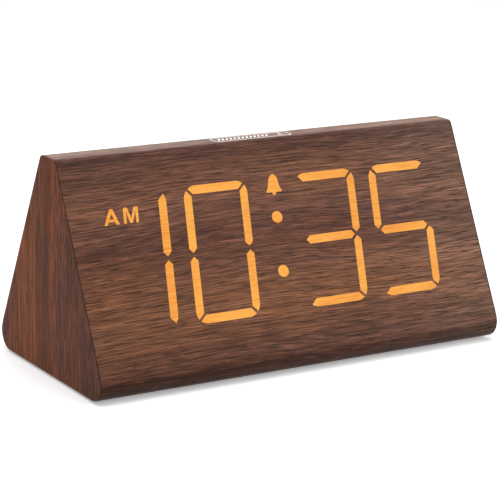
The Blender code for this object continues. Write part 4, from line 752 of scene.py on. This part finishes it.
# The shank starts a fifth of the head's height inside it, so that the two join in one closed skin
sunk = calc(screws, "MULTIPLY", given["Head Height"], 0.2)
long = calc(screws, "ADD", given["Shank Length"], sunk)
rod = add(screws, "MeshCylinder", Vertices=SHANK_SIDES, Radius=given["Shank Radius"], Depth=long)
middle = calc(screws, "MULTIPLY", long, -0.5)
middle = calc(screws, "ADD", middle, sunk)
shank_place = add(screws, "CombineXYZ", Z=middle)
shank = add(screws, "Transform", Geometry=rod, Translation=shank_place)
whole = add(screws, "MeshBoolean", operation="UNION", solver="EXACT")
for part in (head, shank):
    feed(screws, whole, Mesh_2=part)
# Each screw stopped at its own angle
driven = add(screws, "RandomValue", (0, 0, 0), (0, 0, QUARTER_TURN), Seed=given["Seed"], data_type="FLOAT_VECTOR")
copies = add(screws, "InstanceOnPoints", Points=given["Geometry"], Instance=whole, Rotation=driven)
end_tree(screws, copies, given["Material"])

# %% [markdown]
# ## One unbroken film
# The real film is folded with the board, is trimmed flush with the end pieces, and has no openings: the light
# comes through it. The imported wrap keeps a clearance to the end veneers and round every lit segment, which would
# show as thin dark lines. A copy of it, with those edges moved out to their neighbours, stands for it here.

# %% Wrap with its clearances closed
SLIVER = 0.01  # millimetres, as the next two are
LENS_CLEARANCE = 0.15
FRONT_TOLERANCE = 0.6
SAME_POINT = 1e-6  # metres


def even_light(mesh):
    """The same mesh, shaded so that its broad flats stay flat right up to the roundings beside them."""
    carrier = add_object("carrier", mesh)
    weigh = carrier.modifiers.new("weigh", "WEIGHTED_NORMAL")
    weigh.keep_sharp = True
    weigh.weight = 100
    return plain_mesh(carrier)


bm = joined(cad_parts["walnut_wrap"].data, SAME_POINT)
ends = [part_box("left_end_veneer")[1][0] + SLIVER * MM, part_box("right_end_veneer")[0][0] - SLIVER * MM]
edges = [min(v.co.x for v in bm.verts), max(v.co.x for v in bm.verts)]
for v in bm.verts:
    for edge, end in zip(edges, ends):
        if abs(v.co.x - edge) < SLIVER * MM:
            v.co.x = end
bm.transform(FRONT.inverted())
bm.normal_update()
moves = {}
for v in bm.verts:
    # The walls of an opening stand upright on the front, and those of the wrap's own ends are left out
    walls = {tuple(round(c, 3) for c in f.normal) for f in v.link_faces if abs(f.normal.z) < 0.1}
    walls = [Vector(way) for way in walls if abs(way[0]) < 0.999 or abs(v.co.x) < 0.9 * ends[1]]
    if walls and -FRONT_TOLERANCE * MM < v.co.z < SLIVER * MM:
        between = sum(walls, Vector()).normalized()
        moves[v] = between * (LENS_CLEARANCE - SLIVER) * MM / between.dot(walls[0])
for v, move in moves.items():
    v.co += move
settle("walnut_wrap_film", even_light(mesh_of(bm, film_along, FRONT)), replaced=["walnut_wrap"])
print("wrap runs from", [round(x, 5) for x in ends], "and its openings have", len(moves), "points")

# %% [markdown]
# ## Amber light through the film
# Each lit segment is a raised face of a white diffuser tile that glows through thinned film. It is even and crisp,
# with faint fibres across it, so the material is mostly emission in amber, broken by the same kind of stretched
# noise.

# %% Lit film and tiles
FIBRES = (110, 1300, 1300)  # waves a metre: fibres 9 mm long and 0.8 mm wide, coarser than real ones
GLOW_CLOUDS = 45.0  # one each 22 mm


@recipe
def lit_film(tree, place, deep, bright):
    """Light through thinned walnut film: flat amber with a trace of the fibres."""
    fibres_place = add(tree, "VectorMath", place, FIBRES, operation="MULTIPLY")
    fibres = noise(tree, fibres_place, 1.0, 3.0, 0.7)
    clouds = noise(tree, place, GLOW_CLOUDS, 1.0)
    mixed = add(tree, "Mix", 0.35, fibres, clouds, data_type="FLOAT")
    share = spread(tree, mixed, (0.32, 0.58))
    glow = blend(tree, share, deep, bright)
    return dict(Base_Color=tone("140a04"), Roughness=0.5, Specular_IOR_Level=0.2, Emission_Color=glow,
                Emission_Strength=1.0)


amber = lit_film("amber_light_through_film", "e7861a", "fbad43")
tiles = [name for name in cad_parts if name.endswith("_window")]
dress(amber, *tiles)
print("lit tiles:", tiles)

# %% [markdown]
# ## Flat shapes
# Signs and prints are thin solids with a flat outline. Each is drawn in millimetres in the frame of its face, as
# loops of points: an outer one, then its holes. Text objects would do for letters, but outlines of a few points
# stay crisp, lean with the digits and keep the piece closed.

# %% Thin solids from outlines
def plate(shapes, place, low, high, material):
    """A mesh of thin solids. A shape is a list of loops in millimetres, the outer one first."""
    bm = bmesh.new()
    for loops in shapes:
        borders = ([], [])
        for loop in loops:
            rings = [[bm.verts.new((x, y, level)) for x, y in loop] for level in (low, high)]
            for ring, border in zip(rings, borders):
                border += [bm.edges.new((ring[i - 1], ring[i])) for i in range(len(ring))]
            for i in range(len(loop)):
                bm.faces.new((rings[0][i - 1], rings[0][i], rings[1][i], rings[1][i - 1]))
        for border in borders:
            bmesh.ops.triangle_fill(bm, use_beauty=True, edges=border)
    return mesh_of(bm, material, place @ IN_MM)


def arc(radius, centre=(0, 0), start=0.0, sweep=360.0, count=24):
    """Points on a circle, all the way round or over a part of it."""
    angles = [math.radians(start + sweep * i / count) for i in range(count + (sweep < 360))]
    return [(centre[0] + radius * math.cos(a), centre[1] + radius * math.sin(a)) for a in angles]


def bar(x, y, length, width):
    """The outline of an oblong round its middle."""
    return [(x + a * length / 2, y + b * width / 2) for a, b in ((-1, -1), (1, -1), (1, 1), (-1, 1))]


def moved(loop, x, y, scale=1.0):
    """A loop scaled, then moved."""
    return [(x + a * scale, y + b * scale) for a, b in loop]


print("a full circle has", len(arc(1.0)), "points")

# %% AM and the bell, leaning with the digits
LEAN = 0.1168
PRINT = (-0.01, 0.03)  # from just under a face to 0.03 mm over it
LETTER_A = [[(-3.55, 0), (-2.05, 0), (-1.53, 1.25), (1.53, 1.25), (2.05, 0), (3.55, 0), (0.75, 6.71), (-0.75, 6.71)],
            [(-1.07, 2.35), (1.07, 2.35), (0, 4.91)]]
LETTER_M = [[(-3.44, 0), (-2.2, 0), (-2.2, 5.1), (-0.62, 0), (0.62, 0), (2.2, 5.1), (2.2, 0), (3.44, 0),
             (3.44, 6.71), (1.5, 6.71), (0, 1.9), (-1.5, 6.71), (-3.44, 6.71)]]
BELL_HALF = [(0.5, 0), (1.15, 1.25), (3.5, 1.25), (4.0, 1.6), (3.3, 2.7), (2.7, 4.15), (2.5, 5.7), (2.05, 7.5),
             (1.5, 8.3), (0.84, 8.7), (0.45, 9.2)]
BELL = [BELL_HALF + [(-x, y) for x, y in reversed(BELL_HALF)]]
LIT_SIGNS = [(LETTER_A, -82.2, 74.05), (LETTER_M, -73.2, 74.05), (BELL, -3.3, 78.7)]


def leaning(loops, x, up):
    """Loops set on the front, slanted as much as the digits are."""
    return [[(x + a + LEAN * (up + b - DISPLAY_UP), up + b) for a, b in loop] for loop in loops]


lit_signs = [leaning(*lit_sign) for lit_sign in LIT_SIGNS]
settle("amber_signs", plate(lit_signs, FRONT, *PRINT, amber))
print("signs lit through the film:", len(lit_signs))

# %% [markdown]
# ## White print
# The touch zone on the ridge and the legends round the rear controls are pad-printed: a thin layer of white ink
# with slightly uneven cover. The legends are plain signs only. They could be masks in the materials below them,
# but thin solids keep a crisp edge from any distance.

# %% White ink
COVER = 1800.0  # waves a metre: one each 0.55 mm, as coarse as the ink's unevenness has to be to show


@recipe
def pad_print(tree, place, colour):
    """Pad-printed ink: matt, thin, with slightly uneven cover."""
    cover = noise(tree, place, COVER, 2.0)
    share = spread(tree, cover, (0.35, 0.65), (0.8, 1.0))
    ink = add(tree, "VectorMath", tone(colour)[:3], Scale=share, operation="SCALE")
    return dict(Base_Color=ink, Roughness=0.6)


white_ink = pad_print("white_pad_print", "f2efe9")
print("ink:", white_ink.name)

# %% Touch zone on the ridge
ZONE_AT = (-2.6, 0.0)
ZONE_LENGTH = 38.6
ZONE_WIDTH = 7.4
ZONE_LINE = 0.6
ZONE_CORNER = 1.8
CORNER_STEPS = 6
TICKS = {"count": 13, "pitch": 2.0, "length": 3.4, "width": 1.0, "height": PRINT[1]}
TICKS_LEFT = 4.0
TICKS_LEAN = 62.0
MOON_AT = 13.0


def rounded_box(length, width, radius, centre):
    """The outline of an oblong with round corners."""
    loop = []
    for start, x, y in ((0, 1, 1), (90, -1, 1), (180, -1, -1), (270, 1, -1)):
        corner = (centre[0] + x * (length / 2 - radius), centre[1] + y * (width / 2 - radius))
        loop += arc(radius, corner, start, 90, CORNER_STEPS)
    return loop


zone = [rounded_box(ZONE_LENGTH - 2 * inset, ZONE_WIDTH - 2 * inset, ZONE_CORNER - inset, ZONE_AT)
        for inset in (0, ZONE_LINE)]
# A crescent is the outer arc of one circle and, the other way round, the arc of one that bites into it
moon = arc(1.75, (0, 0), 60, 240, 20) + arc(1.45, (0.75, 0.3), 285, -210, 16)
settle("touch_zone_print", plate([zone, [moved(moon, MOON_AT, 0)]], RIDGE, *PRINT, white_ink))
rib_row("touch_zone_ticks", white_ink, on(RIDGE, ZONE_AT[0] - TICKS_LEFT, 0.0, 0.0), "walnut_film",
        turn=TICKS_LEAN, **TICKS)
print("touch zone:", ZONE_LENGTH, "x", ZONE_WIDTH, "mm")

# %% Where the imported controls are
CONTROLS = {name: spot(REAR, name) for name in (*[f"{key}_button" for key in KEYS], "alarm_switch_knob",
                                                "dimmer_wheel", "usb_socket", "dc_inlet", "battery_door")}
PANEL_SUNK = 0.3


def at(control, aside=0.0, up=0.0, out=0.0):
    """Place beside the middle of a control, in millimetres."""
    return on(REAR, CONTROLS[control].x + aside, CONTROLS[control].y + up, out)


print({name: [round(c, 2) for c in place] for name, place in CONTROLS.items()})

# %% Legends on the rear panel
LEGEND_UP = CONTROLS["time_button"].y + 8.6
SOCKET_LEGEND_DROP = 7.6
STROKE = 0.55
THIN_STROKE = 0.45
ARM = 1.5
SUN = 0.75
RAY_FROM, RAY_TO, RAY_HALF_WIDTH = 1.25, 1.95, 0.17
SUN_ASIDE = 4.5
legends = []


def sign(name, *shapes, aside=0.0, up=LEGEND_UP, scale=1.0):
    """Set shapes over a control."""
    for loops in shapes:
        legends.append([moved(loop, CONTROLS[name].x + aside, up, scale) for loop in loops])


clock_hands = [(-0.22, 1.5), (-0.22, -0.22), (1.15, -0.22), (1.15, 0.22), (0.22, 0.22), (0.22, 1.5)]
thin = STROKE / 2
quarter = [(-ARM, -thin), (-thin, -thin), (-thin, -ARM)]
plus = []
for i in range(4):
    plus += quarter
    quarter = [(-y, x) for x, y in quarter]
bolt = [(0.5, 2.0), (-1.1, -0.3), (-0.1, -0.3), (-0.5, -2.0), (1.1, 0.3), (0.1, 0.3)]
sun = [[arc(SUN)]]
for i in range(8):
    angle = math.radians(45 * i)
    ray = Vector((math.cos(angle), math.sin(angle)))
    side = Vector((-ray.y, ray.x)) * RAY_HALF_WIDTH
    sun.append([[tuple(ray * RAY_FROM - side), tuple(ray * RAY_TO - side), tuple(ray * RAY_TO + side),
                 tuple(ray * RAY_FROM + side)]])
sign("time_button", [arc(2.5), arc(2.1)], [clock_hands])
sign("alarm_button", [moved(BELL[0], 0, -2.5, 0.55)])
sign("minus_button", [bar(0, 0, 2 * ARM, STROKE)])
sign("plus_button", [plus])
sign("dimmer_wheel", *sun, aside=-SUN_ASIDE, scale=0.75)
sign("dimmer_wheel", *sun, aside=SUN_ASIDE, scale=1.25)
sign("dc_inlet", [bar(0, THIN_STROKE, 4.6, THIN_STROKE)],
     *[[bar(x, -THIN_STROKE, 1.1, THIN_STROKE)] for x in (-1.75, 0, 1.75)],
     up=CONTROLS["dc_inlet"].y - SOCKET_LEGEND_DROP)
sign("usb_socket", [bolt], up=CONTROLS["usb_socket"].y - SOCKET_LEGEND_DROP)
panel_face = REAR @ Matrix.Translation((0, 0, -PANEL_SUNK * MM))
settle("rear_legends", plate(legends, panel_face, *PRINT, white_ink))
print("legends:", len(legends))

# %% OFF and ON at the alarm switch
WORDS = {"OFF": -2.6, "ON": 4.2}  # each word and its place beside the middle of the knob
WORD_HEIGHT = 1.9
CAPITAL_SHARE = 0.7
word_level = -PANEL_SUNK + sum(PRINT) / 2
for text, aside in WORDS.items():
    name = f"word_{text.lower()}"
    curve = bpy.data.curves.new(name, "FONT")
    curve.body = text
    curve.size = WORD_HEIGHT / CAPITAL_SHARE
    curve.align_x = "CENTER"
    curve.align_y = "CENTER"
    curve.extrude = (PRINT[1] - PRINT[0]) / 2
    letters = joined(plain_mesh(add_object(name, curve)), JOIN_REACH)
    place = on(REAR, CONTROLS["alarm_switch_knob"].x + aside, LEGEND_UP, word_level) @ IN_MM
    settle(name, mesh_of(letters, white_ink, place))
print("words over the alarm switch,", WORD_HEIGHT, "mm high")

# %% [markdown]
# ## Screws in the rear panel
# Four pan-head screws hold the panel to the fibreboard. They are cold-headed: the head is a low dome and the
# cross for the driver is struck into it. The tree cuts the cross out of the dome and turns each screw to an angle
# of its own, since no two stop alike.

# %% Panel screws
PANEL_SCREWS = [f"panel_screw_{i}" for i in (1, 2, 3, 4)]
HEAD = 1.2
SCREW = {"Head Radius": 2.5, "Head Height": HEAD, "Shank Radius": 1.1, "Shank Length": 4.5, "Cross Length": 2.7,
         "Cross Width": 0.5, "Cross Depth": 0.75, "Seed": 4, "Material": zinc}
heads = [(spot(REAR, name).x, spot(REAR, name).y, -PANEL_SUNK - HEAD) for name in PANEL_SCREWS]
settle("panel_screws", grow(screws, SCREW, REAR, heads), replaced=PANEL_SCREWS)
print("screw heads at", [tuple(round(c, 1) for c in place) for place in heads])

# %% [markdown]
# ## Button caps
# Each button is a round moulded cap with a shallow dish for the fingertip, a flange that keeps it in the panel
# and a stem that reaches the switch. A turned profile gives all of it, and the rim and the dish are real curves,
# so that the highlight runs round them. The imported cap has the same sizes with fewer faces.

# %% Turned button caps
CAP_RADIUS = 4.5
CAP_TOP = 1.0
CAP_EDGE = 0.5
DISH_RADIUS = 3.5
DISH = 0.35
DISH_STEPS = 8
STEM_RADIUS, STEM_END = 1.6, -5.4
FLANGE_RADIUS, FLANGE_LOW, FLANGE_HIGH = 5.6, -3.8, -2.8


def lathe(profile, sides=64):
    """A bmesh of a profile turned about Z. The profile's (radius, level) pairs run from the foot to the top."""
    bm = bmesh.new()
    rings = [[bm.verts.new((x, y, level)) for x, y in arc(radius, count=sides)] for radius, level in profile]
    for low_ring, high_ring in zip(rings, rings[1:]):
        for i in range(sides):
            bm.faces.new((low_ring[i - 1], low_ring[i], high_ring[i], high_ring[i - 1]))
    bm.faces.new(rings[0])
    bm.faces.new(rings[-1])
    return bm


rim = [(CAP_RADIUS - CAP_EDGE + x, CAP_TOP - CAP_EDGE + y) for x, y in arc(CAP_EDGE, start=0, sweep=90, count=6)]
inwards = [1 - i / DISH_STEPS for i in range(DISH_STEPS)]
dish = [(DISH_RADIUS * share, CAP_TOP - DISH * (1 - share ** 2)) for share in inwards]
cap = [(STEM_RADIUS, STEM_END), (STEM_RADIUS, FLANGE_LOW), (FLANGE_RADIUS, FLANGE_LOW),
       (FLANGE_RADIUS, FLANGE_HIGH), (CAP_RADIUS, FLANGE_HIGH), *rim, *dish]
for key in KEYS:
    node = f"{key}_button"
    settle(f"{key}_cap", mesh_of(lathe(cap), grey_abs, at(node) @ IN_MM), f"{key}_key", [node])
print("button caps: radius", CAP_RADIUS, "mm")

# %% [markdown]
# ## Ribs, contacts and inlet
# Fingertips need something to push: four ribs on the slide switch and a field of ribs under the notch of the
# battery door. The USB socket holds a black tongue with four gilt contacts, and the barrel inlet a nickel sleeve
# with a pin in its middle.

# %% Grip ribs
KNOB_TOP = 0.6
KNOB_RIBS = {"count": 4, "pitch": 0.8, "length": 2.3, "width": 0.4, "height": 0.22}
DOOR_FACE = -0.4
DOOR_RIBS = {"count": 5, "pitch": 1.6, "length": 16.0, "width": 0.7, "height": 0.3}
DOOR_RIBS_DOWN = 1.0
rib_row("switch_knob_ribs", grey_abs, at("alarm_switch_knob", out=KNOB_TOP), "grey_plastic", "alarm_slider",
        **KNOB_RIBS)
upright = at("battery_door", up=-DOOR_RIBS_DOWN, out=DOOR_FACE) @ Matrix.Rotation(QUARTER_TURN, 4, "Z")
rib_row("battery_door_ribs", black_abs, upright, "black_plastic", "door", **DOOR_RIBS)
print("ribs:", KNOB_RIBS["count"], "on the knob and", DOOR_RIBS["count"], "on the door")

# %% Tongue and contacts in the USB socket
TONGUE_LENGTH, TONGUE_THICKNESS, TONGUE_UP = 11.3, 2.0, 0.8
TONGUE_LEVELS = (-11.0, -1.7)
CONTACTS_DOWN, CONTACTS_LEVEL = 0.2, -6.0
CONTACT = {"count": 2, "length": 7.4, "width": 1.0, "height": 0.12}
CONTACT_PAIRS = {"inner": 2.0, "outer": 7.0}
tongue = plate([[bar(0, 0, TONGUE_LENGTH, TONGUE_THICKNESS)]], at("usb_socket", up=TONGUE_UP), *TONGUE_LEVELS,
               black_abs)
settle("usb_tongue", tongue)
gilt = plated("gilt_contacts", "b8923f", "e0bd6a", 0.25, 1.0)
under_tongue = at("usb_socket", up=-CONTACTS_DOWN, out=CONTACTS_LEVEL) @ Matrix.Rotation(QUARTER_TURN, 4, "X")
for pair, pitch in CONTACT_PAIRS.items():
    rib_row(f"usb_{pair}_contacts", gilt, under_tongue, "steel", pitch=pitch, **CONTACT)
print("contacts:", CONTACT["count"] * len(CONTACT_PAIRS))

# %% Pin and sleeve in the barrel inlet
BORE = 2.86
SLEEVE = 0.2
SLEEVE_LEVELS = (-9.6, -0.8)
PIN = [(0.99, -9.7), (0.99, -2.0), (0.85, -1.62), (0.5, -1.42)]
into = at("dc_inlet")
settle("inlet_pin", mesh_of(lathe(PIN, 32), nickel, into @ IN_MM))
sleeve = [arc(BORE, count=48), arc(BORE - SLEEVE, count=48)]
settle("inlet_sleeve", plate([sleeve], into, *SLEEVE_LEVELS, nickel))
print("inlet: bore", 2 * BORE, "mm, pin", 2 * PIN[0][0], "mm")
